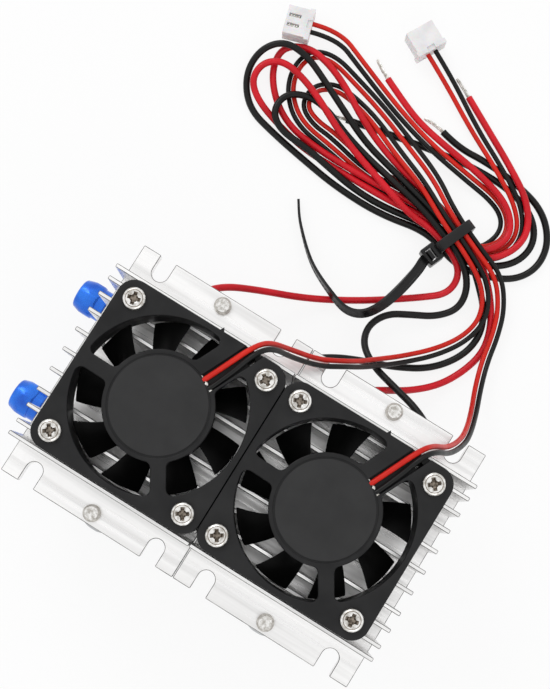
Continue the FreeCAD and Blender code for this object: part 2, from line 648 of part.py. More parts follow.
def make_fan_frame(side, sign):
    """Square frame with a round duct, hub plate on three struts and a lead channel."""
    body = new_body("fan_frame_" + side, "seam_x + %d * fan_step" % sign, "0", "fan_z")
    half = "fan_size / 2"
    outline = new_sketch(body, "outline")
    rectangle(outline, "-" + half, "-" + half, half, half)
    box = pad(body, outline, "fan_height", "box")
    fillet(body, box, edges_of(box, upright), "fan_corner", "corners")
    duct = new_sketch(body, "duct", offset="fan_height")
    circle(duct, "0", "0", "duct_radius")
    pocket(body, duct, "duct_cut")

    holes = new_sketch(body, "holes", offset="fan_height")
    for end in ("-1", "1"):
        for way in ("-1", "1"):
            circle(holes, end + " * hole_pitch / 2", way + " * hole_pitch / 2", "hole_radius")
    pocket(body, holes, "hole")

    hub = new_sketch(body, "hub", offset="hub_z")
    circle(hub, "0", "0", "hub_radius")
    pad(body, hub, "hub_thickness", "hub_plate")
    reach = "duct_radius + strut_rim_overlap"
    inner = "hub_radius - strut_hub_overlap"
    struts = (("strut_lead", "lead_angle", "lead_strut_offset", "lead_strut_width"),
              ("strut_side", "side_strut_angle", "0", "strut_width"),
              ("strut_front", "front_strut_angle", "0", "strut_width"))
    for name, angle, middle, width in struts:
        arm = new_sketch(body, name, offset="hub_z")
        turned_rectangle(arm, angle, inner, reach, middle, width)
        plate = pad(body, arm, "hub_thickness", name + "_arm")
    middle_height, edge_height = value("hub_z + hub_thickness / 2"), value("hub_thickness")
    corners = edges_of(plate, lambda edge: upright(edge) and abs(edge.Length - edge_height) < 1e-4
                       and abs(edge.CenterOfMass.z - middle_height) < 1e-4)
    fillet(body, plate, corners, "opening_fillet", "opening_corners")
    channel = new_sketch(body, "channel", offset="fan_height")
    turned_rectangle(channel, "lead_angle", "lead_start", "fan_size * 0.7", "lead_offset", "channel_width")
    pocket(body, channel, "lead_channel", "channel_depth")
    window = new_sketch(body, "window", offset="fan_height")
    turned_rectangle(window, "lead_angle", "fan_size / 2", "(fan_size / 2 + lead_window_length)",
                     "lead_window_offset", "lead_window_width")
    pocket(body, window, "lead_window")

    boss = new_sketch(body, "boss", offset="boss_bottom")
    circle(boss, "0", "0", "boss_radius")
    circle(boss, "0", "0", "boss_radius - boss_wall")
    pad(body, boss, "hub_z - boss_bottom", "bearing_tube")

    nub = new_sketch(body, "nub", offset="fan_height - nub_size")
    polygon(nub, [("nub_offset - nub_size / 2", half), ("nub_offset", half + " + nub_size * 0.8"),
                  ("nub_offset + nub_size / 2", half)])
    pad(body, nub, "nub_size", "mould_nub")
    return body


def make_rotor(side, sign):
    """Cup with nine twisted blades, each lofted through three sections."""
    body = new_body("fan_rotor_" + side, "seam_x + %d * fan_step" % sign, "0", "fan_z")
    if side == "right":
        bind(body, "Placement.Rotation.Angle", "right_rotor_turn")
    profile = new_sketch(body, "profile", "XZ_Plane")
    polygon(profile, [
        ("shaft_radius", "cup_bottom"),
        ("cup_radius", "cup_bottom"),
        ("cup_radius", "cup_top"),
        ("cup_radius - cup_wall", "cup_top"),
        ("cup_radius - cup_wall", "cup_bottom + cup_floor"),
        ("shaft_radius", "cup_bottom + cup_floor"),
    ])
    revolve(body, profile, "Z_Axis", "cup")
    sections = []
    stations = (("root", "cup_radius - cup_wall / 2", "blade_root_sweep", "0"),
                ("middle", "(cup_radius + duct_radius) / 2", "(blade_root_sweep + blade_tip_sweep) / 2",
                 "blade_lean / 2"),
                ("tip", "duct_radius", "blade_tip_sweep", "blade_lean"))
    for name, radius, sweep, lean in stations:
        sections.append(blade_section(body, name, radius, sweep, lean))
    blade = body.newObject("PartDesign::AdditiveLoft", body.Name + "_blade")
    blade.Profile = sections[0]
    blade.Sections = sections[1:]
    blade.Ruled = False
    doc.recompute()
    polar(body, blade, "blade_count", "blades")
    tips = new_sketch(body, "tips", "XZ_Plane")
    rectangle(tips, "duct_radius - blade_tip_gap", "0", "duct_radius + 3", "fan_height")
    turn_away(body, tips, "Z_Axis", "tip_trim")
    return body


def blade_section(body, name, radius, sweep, lean):
    """Blade section in an upright plane at a radius, slanted over its arc of the sweep."""
    section = new_sketch(body, name, "YZ_Plane", radius)
    half_run = "(%s) * tan((%s) / 2)" % (radius, sweep)
    shift = "(%s) * tan(%s)" % (radius, lean)
    low, high = "blade_bottom", "blade_bottom + blade_height"
    across = "blade_thickness * 0.62"
    polygon(section, [
        ("%s - %s - %s" % (shift, half_run, across), high),
        ("%s - %s + %s" % (shift, half_run, across), high),
        ("%s + blade_thickness * 0.9" % shift, "blade_bottom + blade_height * 0.56"),
        ("%s + %s + %s" % (shift, half_run, across), low),
        ("%s + %s - %s" % (shift, half_run, across), low),
        ("%s - blade_thickness * 0.5" % shift, "blade_bottom + blade_height * 0.44"),
    ])
    return section


def make_ring(name, x, z, outer, inner, height):
    body = new_body(name, x, "0", z)
    ring = new_sketch(body, "ring")
    circle(ring, "0", "0", outer)
    circle(ring, "0", "0", inner)
    pad(body, ring, height, "ring_body")
    return body


def make_stator(side, x):
    """Four wound poles on the bearing tube, as one laminated core with slots."""
    name = "fan_stator_" + side
    body = make_ring(name, x, "fan_z + stator_bottom", "stator_radius",
                     "boss_radius + stator_bore_gap", "stator_height")
    slot = new_sketch(body, "slot", offset="stator_height")
    turned_rectangle(slot, "45", "stator_core_radius", "stator_radius + 1", "0", "stator_slot")
    cut = pocket(body, slot, "pole_slot")
    polar(body, cut, "stator_poles", "pole_slots")
    return body


def make_fan_motor(side, sign):
    """Magnet ring, shaft, sleeve bearing, stator and board inside the rotor cup."""
    x = "seam_x + %d * fan_step" % sign
    outer = "cup_radius - cup_wall - magnet_clearance"
    make_ring("fan_magnet_" + side, x, "fan_z + cup_bottom + cup_floor", outer,
              outer + " - magnet_thickness", "magnet_height")
    make_ring("fan_bearing_" + side, x, "fan_z + boss_bottom", "boss_radius - boss_wall",
              "shaft_radius + shaft_clearance", "hub_z - boss_bottom - bearing_gap")
    make_stator(side, x)
    make_ring("fan_board_" + side, x, "fan_z + stator_bottom + stator_height",
              "board_radius", "boss_radius + stator_bore_gap", "board_thickness")
    shaft = new_body("fan_shaft_" + side, x, "0", "fan_z + cup_bottom")
    rod = new_sketch(shaft, "rod")
    circle(rod, "0", "0", "shaft_radius")
    pad(shaft, rod, "hub_z - cup_bottom - shaft_gap", "rod_body")


def make_fan_screws(side, sign):
    """Four cross-head screws through the frame into the grooves between two fins."""
    body = new_body("fan_screws_" + side, "seam_x + %d * fan_step" % sign, "0", "fan_top")
    shanks = new_sketch(body, "shanks", offset="-fan_height - screw_bite")
    heads = new_sketch(body, "heads")
    cross = new_sketch(body, "cross", offset="screw_head_height")
    for end in ("-1", "1"):
        for way in ("-1", "1"):
            x, y = end + " * hole_pitch / 2", way + " * hole_pitch / 2"
            circle(shanks, x, y, "screw_radius")
            circle(heads, x, y, "screw_head_radius")
            cross_outline(cross, x, y, "recess_radius", "recess_width / 2")
    pad(body, shanks, "fan_height + screw_bite", "shank")
    caps = pad(body, heads, "screw_head_height", "head")
    top = value("screw_head_height")
    rims = edges_of(caps, lambda edge: abs(edge.CenterOfMass.z - top) < 1e-4)
    fillet(body, caps, rims, "screw_head_height * 0.6", "dome")
    pocket(body, cross, "recess", "recess_depth")
    return body


def cross_outline(sketch, x, y, reach, arm):
    """Twelve-cornered outline of a cross recess."""
    steps = []
    for quarter in range(4):
        for along, across in ((arm, "-" + arm), (reach, "-" + arm), (reach, arm)):
            cosine, sine = (1, 0, -1, 0)[quarter], (0, 1, 0, -1)[quarter]
            steps.append(("%s + %d * (%s) - %d * (%s)" % (x, cosine, along, sine, across),
                          "%s + %d * (%s) + %d * (%s)" % (y, sine, along, cosine, across)))
    return polygon(sketch, steps)


def bend_radius(before, point, after):
    """Radius, tangent length and turn of the arc that rounds one point of a route."""
    arrive, leave = point - before, after - point
    turn = arrive.getAngle(leave)
    tangent = ARC_SHARE * min(arrive.Length, leave.Length)
    return tangent / math.tan(turn / 2), tangent, turn


def cord_path(points):
    """Straight runs joined by tangent arcs through a route, and the tightest radius."""
    places = [FreeCAD.Vector(*point) for point in points]
    edges = []
    radii = []
    start = places[0]
    for before, point, after in zip(places, places[1:], places[2:]):
        radius, tangent, turn = bend_radius(before, point, after)
        radii.append(radius)
        arrive = FreeCAD.Vector(point - before).normalize()
        leave = FreeCAD.Vector(after - point).normalize()
        arc_start = point - arrive * tangent
        arc_end = point + leave * tangent
        inward = FreeCAD.Vector(leave - arrive).normalize()
        middle = point + inward * (radius / math.cos(turn / 2) - radius)
        edges.append(Part.LineSegment(start, arc_start).toShape())
        edges.append(Part.Arc(arc_start, middle, arc_end).toShape())
        start = arc_end
    edges.append(Part.LineSegment(start, places[-1]).toShape())
    return Part.Wire(edges), min(radii)


def module_points(points):
    shift = value("seam_x")
    return [(x + shift, y, z) for x, y, z in points]


def new_feature(name, shape):
    feature = doc.addObject("Part::Feature", name)
    feature.Label = name
    feature.Shape = shape
    return feature


def make_wire(name, points):
    """Insulated wire: one round tube along its whole route."""
    radius = value("lead_wire_radius" if name.startswith("fan") else "power_wire_radius")
    path, tightest = cord_path(module_points(points))
    start, direction = path.Edges[0].Vertexes[0].Point, path.Edges[0].tangentAt(0)
    ring = Part.Wire(Part.Circle(start, direction, radius).toShape())
    tube = path.makePipeShell([ring], True, False)
    ideal = math.pi * radius ** 2 * path.Length
    print("%-22s length %.1f radii from %.2f volume ratio %.4f" % (
        name, path.Length, tightest, tube.Volume / ideal))
    return new_feature(name, tube)


def make_wire_tips():
    """Bare tinned ends of the four cooler wires, in line with their last run."""
    tips = []
    for name, points in WIRES.items():
        if name.startswith("tec"):
            before, end = (FreeCAD.Vector(*point) for point in module_points(points[-2:]))
            tips.append(Part.makeCylinder(value("tip_radius"), value("tip_length"), end, end - before))
    return new_feature("wire_tips", Part.makeCompound(tips))


def make_connector(side):
    """Two-pole plug: housing with a flange at the wires, two windows and the contacts in them."""
    x, y, z, angle = CONNECTORS[side]
    place = ("seam_x + %s" % x, str(y), str(z))
    turn = FreeCAD.Placement(FreeCAD.Vector(0, 0, 0), FreeCAD.Rotation(FreeCAD.Vector(0, 0, 1), angle))
    housing = doc.addObject("PartDesign::Body", "connector_housing_" + side)
    contacts = doc.addObject("PartDesign::Body", "connector_contacts_" + side)
    for body in (housing, contacts):
        body.Label = body.Name
        body.Placement = turn
        for axis, text in zip("xyz", place):
            bind(body, "Placement.Base." + axis, text)
    block = new_sketch(housing, "block")
    rectangle(block, "0", "-housing_width / 2", "housing_length", "housing_width / 2")
    pad(housing, block, "housing_height", "block_body")
    lip = new_sketch(housing, "lip")
    side_reach = "housing_width / 2 + housing_lip"
    rectangle(lip, "0", "-(%s)" % side_reach, "housing_flange", side_reach)
    pad(housing, lip, "housing_height", "flange")
    windows = new_sketch(housing, "windows", offset="housing_height")
    blades = new_sketch(contacts, "blades", offset="housing_height - window_depth")
    for way in ("-1", "1"):
        middle = way + " * window_offset"
        for sketch, width, inset in ((windows, "window_width", "0"), (blades, "contact_width", "contact_inset")):
            rectangle(sketch, "housing_length - window_length - window_margin + " + inset,
                      "%s - %s / 2" % (middle, width),
                      "housing_length - window_margin - " + inset, "%s + %s / 2" % (middle, width))
    pocket(housing, windows, "window", "window_depth")
    pad(contacts, blades, "contact_height", "blade")


def make_tie():
    """Cable tie: rounded band round the bundle, head beside it and the long twisted tail."""
    loop = doc.addObject("PartDesign::Body", "tie_loop")
    loop.Placement = FreeCAD.Placement(
        FreeCAD.Vector(0, 0, 0), FreeCAD.Rotation(FreeCAD.Vector(0, 0, 1), TIE_ANGLE))
    bind(loop, "Placement.Base.x", "seam_x + %s" % TIE_PLACE[0])
    bind(loop, "Placement.Base.y", str(TIE_PLACE[1]))
    band = new_sketch(loop, "band", "YZ_Plane", "-band_width / 2")
    rectangle(band, "bundle_low - band_thickness", "bundle_bottom - band_thickness",
              "bundle_high + band_thickness", "bundle_top + band_thickness")
    outside = pad(loop, band, "band_width", "band_block")
    corners = edges_of(outside, lambda edge: abs(edge.Length - value("band_width")) < 1e-6)
    fillet(loop, outside, corners, "band_corner + band_thickness", "outer")
    hole = new_sketch(loop, "hole", "YZ_Plane", "-band_width / 2")
    rounded_outline(hole, "bundle_low", "bundle_bottom", "bundle_high", "bundle_top", "band_corner")
    pocket(loop, hole, "opening", "band_width", upward=True)
    head = new_sketch(loop, "head", offset="(bundle_bottom + bundle_top - tie_head_height) / 2")
    face = "bundle_low - band_thickness"
    rectangle(head, "-tie_head_width / 2", "%s - tie_head_length" % face,
              "tie_head_width / 2", "%s + band_thickness / 2" % face)
    pad(loop, head, "tie_head_height", "head_block")

    tail = new_feature("tie_tail", tail_shape())
    tie = doc.addObject("Part::Fuse", "cable_tie")
    tie.Label = "cable_tie"
    tie.Base = loop
    tie.Tool = tail


def rounded_outline(sketch, x0, y0, x1, y1, radius):
    """Rounded rectangle of four lines and four arcs, pinned at the arc centres and line ends."""
    left, low, right, high, r = value(x0), value(y0), value(x1), value(y1), value(radius)
    centres = ((right - r, high - r, 0), (left + r, high - r, 1), (left + r, low + r, 2), (right - r, low + r, 3))
    names = ((x1, y1, "-", "-"), (x0, y1, "+", "-"), (x0, y0, "+", "+"), (x1, y0, "-", "+"))
    arcs = []
    for cx, cy, quarter in centres:
        ring = Part.Circle(FreeCAD.Vector(cx, cy, 0), FreeCAD.Vector(0, 0, 1), r)
        start = quarter * math.pi / 2
        arcs.append(sketch.addGeometry(Part.ArcOfCircle(ring, start, start + math.pi / 2), False))
    for number, arc in enumerate(arcs):
        text_x, text_y, sign_x, sign_y = names[number]
        pin_point(sketch, arc, 3, "%s %s %s" % (text_x, sign_x, radius), "%s %s %s" % (text_y, sign_y, radius))
        following = arcs[(number + 1) % 4]
        cx, cy, quarter = centres[number]
        start = FreeCAD.Vector(cx + r * math.cos((quarter + 1) * math.pi / 2),
                               cy + r * math.sin((quarter + 1) * math.pi / 2), 0)
        nx, ny, next_quarter = centres[(number + 1) % 4]
        end = FreeCAD.Vector(nx + r * math.cos(next_quarter * math.pi / 2),
                             ny + r * math.sin(next_quarter * math.pi / 2), 0)
        line = sketch.addGeometry(Part.LineSegment(start, end), False)
        sketch.addConstraint(Sketcher.Constraint("Tangent", arc, 2, line, 1))
        sketch.addConstraint(Sketcher.Constraint("Tangent", line, 2, following, 1))
    index = sketch.addConstraint(Sketcher.Constraint("Radius", arcs[0], r))
    sketch.setExpression("Constraints[%d]" % index, expand(radius))


def tail_shape():
    """Strip lofted through rectangles that turn from flat to upright."""
    places = [FreeCAD.Vector(x, y, z) for x, y, z in module_points([row[:3] for row in TIE_TAIL])]
    outlines = []
    for number, (_, _, _, twist, width) in enumerate(TIE_TAIL):
        before, after = places[max(number - 1, 0)], places[min(number + 1, len(places) - 1)]
        along = FreeCAD.Vector(after - before).normalize()
        side = along.cross(FreeCAD.Vector(0, 0, 1)).normalize()
        up = side.cross(along)
        turn = math.radians(twist)
        broad = side * math.cos(turn) + up * math.sin(turn)
        thin = up * math.cos(turn) - side * math.sin(turn)
        half = value("tail_thickness") / 2
        corners = [places[number] + broad * (a * width / 2) + thin * (b * half)
                   for a, b in ((-1, -1), (1, -1), (1, 1), (-1, 1))]
        outlines.append(Part.makePolygon(corners + corners[:1]))
    return Part.makeLoft(outlines, True, True)


doc = FreeCAD.newDocument("cooling_module")
sheet = doc.addObject("Spreadsheet::Sheet", "sizes")
for row, (alias, number) in enumerate(SIZES.items(), 1):
    sheet.set("A%d" % row, alias.replace("_", " "))
    sheet.set("B%d" % row, str(number))
    sheet.setAlias("B%d" % row, alias)
doc.recompute()

make_block()
for side_name, side_sign in SIDES:
    make_sink(side_name, side_sign)
    make_cooler(side_name, side_sign)
    make_clamp_bar(side_name, side_sign)
    make_fan_frame(side_name, side_sign)
    make_rotor(side_name, side_sign)
    make_fan_motor(side_name, side_sign)
    make_fan_screws(side_name, side_sign)
make_clamp_screws()
make_fitting("front", "-1")
make_fitting("back", "1")
for wire_name, wire_points in WIRES.items():
    make_wire(wire_name, wire_points)
make_wire_tips()
make_connector("left")
make_connector("right")
make_tie()
doc.recompute()

PIECE_TYPES = ("PartDesign::Body", "Part::Feature", "Part::Fuse")
PIECES = [item for item in doc.Objects if item.TypeId in PIECE_TYPES and not item.Name.startswith("tie_")]
for item in doc.Objects:
    if "Invalid" in item.State or "Error" in item.State:
        raise RuntimeError("failed: " + item.Name + " " + str(item.State))
for piece in PIECES:
    if piece.Shape.isNull() or not piece.Shape.isValid():
        raise RuntimeError("bad shape: " + piece.Label)
os.makedirs("parts", exist_ok=True)
for piece in PIECES:
    piece.Shape.exportStep("parts/" + piece.Label + ".step")
    box = piece.Shape.BoundBox
    print("%-26s solids %d volume %9.2f  x %.2f %.2f y %.2f %.2f z %.2f %.2f" % (
        piece.Label, len(piece.Shape.Solids), piece.Shape.Volume,
        box.XMin, box.XMax, box.YMin, box.YMax, box.ZMin, box.ZMax))
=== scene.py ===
import bmesh
import bpy
import math
from mathutils import Matrix, Vector


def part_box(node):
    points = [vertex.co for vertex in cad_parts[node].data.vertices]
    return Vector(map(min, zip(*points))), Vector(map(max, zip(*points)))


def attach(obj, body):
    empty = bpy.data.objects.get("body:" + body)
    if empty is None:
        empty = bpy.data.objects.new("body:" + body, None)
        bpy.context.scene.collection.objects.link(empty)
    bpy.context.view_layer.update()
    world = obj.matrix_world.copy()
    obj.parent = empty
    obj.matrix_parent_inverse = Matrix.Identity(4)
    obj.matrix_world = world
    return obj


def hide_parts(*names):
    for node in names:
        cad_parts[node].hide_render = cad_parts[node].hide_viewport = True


# A cooling module seen from above: two fans on finned sinks, a water block below, and wired leads
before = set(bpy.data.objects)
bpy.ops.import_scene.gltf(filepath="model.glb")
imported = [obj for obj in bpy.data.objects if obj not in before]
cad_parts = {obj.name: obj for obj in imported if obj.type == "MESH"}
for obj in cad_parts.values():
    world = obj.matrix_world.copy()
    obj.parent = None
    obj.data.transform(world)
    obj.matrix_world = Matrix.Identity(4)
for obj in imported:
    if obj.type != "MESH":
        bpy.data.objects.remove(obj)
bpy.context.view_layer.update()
print("frame loaded")

mm = 0.001
sides = ("left", "right")
seamX = (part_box("heat_sink_left")[1].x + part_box("heat_sink_right")[0].x) / 2


# Shared helpers

def pieceName(node):
    words = node.split("_")
    return words[0] + "".join(word.title() for word in words[1:])


def finishPiece(bm, node, body, lookNames, replaced=None, smoothAngle=32):
    # one object at the origin, named after its CAD node, smooth where faces meet at a small angle
    name = pieceName(node)
    mesh = bpy.data.meshes.new(name)
    for face in bm.faces:
        face.smooth = True
    bm.to_mesh(mesh)
    bm.free()
    mesh.set_sharp_from_angle(angle=math.radians(smoothAngle))
    for look in lookNames:
        mesh.materials.append(looks[look])
    obj = bpy.data.objects.new(name, mesh)
    bpy.context.scene.collection.objects.link(obj)
    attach(obj, body)
    for cadNode in (node,) if replaced is None else replaced:
        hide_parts(cadNode)
    return obj


def polar(radius, degrees):
    angle = math.radians(degrees)
    return (radius * math.cos(angle), radius * math.sin(angle))


def prism(outlines, low, high, rim=0):
    # fills the outlines, the later ones as holes, and pulls the sheet up; its top rims can be rounded
    bm = bmesh.new()
    edges = []
    for points in outlines:
        verts = [bm.verts.new((x, y, low)) for x, y in points]
        edges += [bm.edges.new((verts[i - 1], verts[i])) for i in range(len(verts))]
    bmesh.ops.triangle_fill(bm, edges=edges, use_beauty=True)
    pulled = bmesh.ops.extrude_face_region(bm, geom=bm.faces[:])
    tops = [item for item in pulled["geom"] if isinstance(item, bmesh.types.BMFace)]
    lifted = [item for item in pulled["geom"] if isinstance(item, bmesh.types.BMVert)]
    bmesh.ops.translate(bm, verts=lifted, vec=(0, 0, high - low - rim))
    bmesh.ops.recalc_face_normals(bm, faces=bm.faces)
    if rim:
        # shares of the rim for three steps of a quarter round: inward and upward
        for inward, upward in ((0.134, 0.5), (0.366, 0.366), (0.5, 0.134)):
            bmesh.ops.inset_region(bm, faces=tops, thickness=rim * inward,
                                   use_even_offset=True, use_boundary=True)
            verts = list({vert for face in tops for vert in face.verts})
            bmesh.ops.translate(bm, verts=verts, vec=(0, 0, rim * upward))
    return bm


def roundedBox(x0, y0, x1, y1, corner, steps):
    points = []
    for quarter, (cx, cy) in enumerate(((x1 - corner, y1 - corner), (x0 + corner, y1 - corner),
                                        (x0 + corner, y0 + corner), (x1 - corner, y0 + corner))):
        for step in range(steps + 1):
            px, py = polar(corner, 90 * quarter + 90 * step / steps)
            points.append((cx + px, cy + py))
    return points


def circlePoints(radius, x=0, y=0, steps=96):
    return [(x + px, y + py) for px, py in (polar(radius, 360 * step / steps) for step in range(steps))]


def disc(radius, low, high, segments=96, topRadius=None):
    bm = bmesh.new()
    bmesh.ops.create_cone(bm, cap_ends=True, segments=segments, radius1=radius,
                          radius2=radius if topRadius is None else topRadius, depth=high - low)
    bmesh.ops.translate(bm, verts=bm.verts, vec=(0, 0, (high + low) / 2))
    return bm


def turned(profile, steps=64, closed=False):
    # spins a profile of (radius, height) pairs about Z
    bm = bmesh.new()
    verts = [bm.verts.new((r, 0, z)) for r, z in profile]
    edges = [bm.edges.new(pair) for pair in zip(verts, verts[1:])]
    if closed:
        edges.append(bm.edges.new((verts[-1], verts[0])))
    bmesh.ops.spin(bm, geom=verts + edges, cent=(0, 0, 0), axis=(0, 0, 1), dvec=(0, 0, 0),
                   angle=2 * math.pi, steps=steps, use_merge=True, use_duplicate=False)
    bmesh.ops.remove_doubles(bm, verts=bm.verts, dist=1e-7)
    bmesh.ops.recalc_face_normals(bm, faces=bm.faces)
    return bm


def cuboid(low, high):
    bm = bmesh.new()
    bmesh.ops.create_cube(bm, size=1)
    low, high = Vector(low), Vector(high)
    size = high - low
    bmesh.ops.scale(bm, verts=bm.verts, vec=size)
    bmesh.ops.translate(bm, verts=bm.verts, vec=(low + high) / 2)
    return bm


def bevelEdges(bm, width, segments=2, minAngle=25, only=None, look=0):
    # rounds the sharp edges; the new faces can take another of the piece's materials
    edges = [e for e in bm.edges if len(e.link_faces) == 2
             and math.degrees(e.calc_face_angle(0)) > minAngle and (only is None or only(e))]
    made = bmesh.ops.bevel(bm, geom=edges, offset=width, offset_type="OFFSET", affect="EDGES",
                           segments=segments, profile=0.5, material=-1, clamp_overlap=True)
    if look:
        for face in made["faces"]:
            face.material_index = look
    return bm


def place(bm, matrix):
    bmesh.ops.transform(bm, matrix=matrix, verts=bm.verts)
    return bm


def joined(parts):
    whole = bmesh.new()
    for part in parts:
        mesh = bpy.data.meshes.new("part")
        part.to_mesh(mesh)
        part.free()
        whole.from_mesh(mesh)
        bpy.data.meshes.remove(mesh)
    return whole


def copiesOf(prototype, matrices):
    whole = joined([place(prototype.copy(), matrix) for matrix in matrices])
    prototype.free()
    return whole


def combine(base, tools, operation):
    # boolean of one solid with several, through modifiers, giving a mesh again
    def holder(bm):
        mesh = bpy.data.meshes.new("solid")
        bm.to_mesh(mesh)
        bm.free()
        obj = bpy.data.objects.new("solid", mesh)
        bpy.context.scene.collection.objects.link(obj)
        return obj

    target = holder(base)
    others = [holder(tool) for tool in tools]
    for other in others:
        modifier = target.modifiers.new("boolean", "BOOLEAN")
        modifier.operation = operation
        modifier.solver = "EXACT"
        modifier.object = other
    result = bpy.data.meshes.new_from_object(
        target.evaluated_get(bpy.context.evaluated_depsgraph_get()))
    bm = bmesh.new()
    bm.from_mesh(result)
    bpy.data.meshes.remove(result)
    for obj in [target] + others:
        mesh = obj.data
        bpy.data.objects.remove(obj)
        bpy.data.meshes.remove(mesh)
    bmesh.ops.remove_doubles(bm, verts=bm.verts, dist=2e-6)
    return bm


def turnZ(degrees):
    return Matrix.Rotation(math.radians(degrees), 4, "Z")


# Materials

def setInputs(node, inputs):
    for socket, value in inputs.items():
        node.inputs[socket.replace("_", " ")].default_value = value


def addNode(owner, kind, **inputs):
    # a shader node of a material or world, with plain values in its sockets
    node = owner.node_tree.nodes.new("ShaderNode" + kind)
    setInputs(node, inputs)
    return node


def link(owner, source, target):
    owner.node_tree.links.new(source, target)


def shaderInput(material, socket):
    return material.node_tree.nodes["Principled BSDF"].inputs[socket]


def noiseOf(material, scale, detail=4, stretch=(1, 1, 1)):
    # noise in Object coordinates, stretched along the axes, as a factor from 0 to 1
    where = addNode(material, "TexCoord")
    mapping = addNode(material, "Mapping", Scale=stretch)
    texture = addNode(material, "TexNoise", Scale=scale, Detail=detail)
    link(material, where.outputs["Object"], mapping.inputs["Vector"])
    link(material, mapping.outputs["Vector"], texture.inputs["Vector"])
    return texture.outputs["Fac"]


def tint(material, factor, dark, light, fromLow=0.3, fromHigh=0.7):
    # colour that drifts between two shades with a factor
    ramp = addNode(material, "ValToRGB")
    for stop, position, colour in zip(ramp.color_ramp.elements, (fromLow, fromHigh), (dark, light)):
        stop.position = position
        stop.color = (*colour, 1)
    link(material, factor, ramp.inputs["Fac"])
    link(material, ramp.outputs["Color"], shaderInput(material, "Base Color"))


def roughen(material, factor, low, high):
    # roughness that varies between two values with a factor
    ranged = addNode(material, "MapRange", From_Min=0.3, From_Max=0.7, To_Min=low, To_Max=high)
    link(material, factor, ranged.inputs["Value"])
    link(material, ranged.outputs["Result"], shaderInput(material, "Roughness"))


def bump(material, factor, strength, distance):
    node = addNode(material, "Bump", Strength=strength, Distance=distance)
    link(material, factor, node.inputs["Height"])
    link(material, node.outputs["Normal"], shaderInput(material, "Normal"))


def surface(name, colour, roughness, metallic=0.0, shades=None, sheen=None, grain=None, **sockets):
    # one procedural material; shades, sheen and grain each start with the noise they follow, written
    # as scale, detail and stretch
    material = bpy.data.materials.new(name)
    material.use_nodes = True
    setInputs(material.node_tree.nodes["Principled BSDF"],
              {"Base Color": (*colour, 1), "Roughness": roughness, "Metallic": metallic, **sockets})
    for vary, settings in ((tint, shades), (roughen, sheen), (bump, grain)):
        if settings:
            vary(material, noiseOf(material, *settings[0]), *settings[1:])
    return material


def insulation(name, dark, light, roughness):
    # wire sleeve: slight waviness and patches of handling sheen
    return surface(name, light, roughness, 0.0, ((130,), dark, light),
                   ((420,), roughness - 0.06, roughness + 0.1), ((1600, 1), 0.3, 0.00004),
                   Specular_IOR_Level=0.24)


def hiddenFinish(name, dark, light, roughness, metallic):
    return surface(name, light, roughness, metallic, ((600,), dark, light))


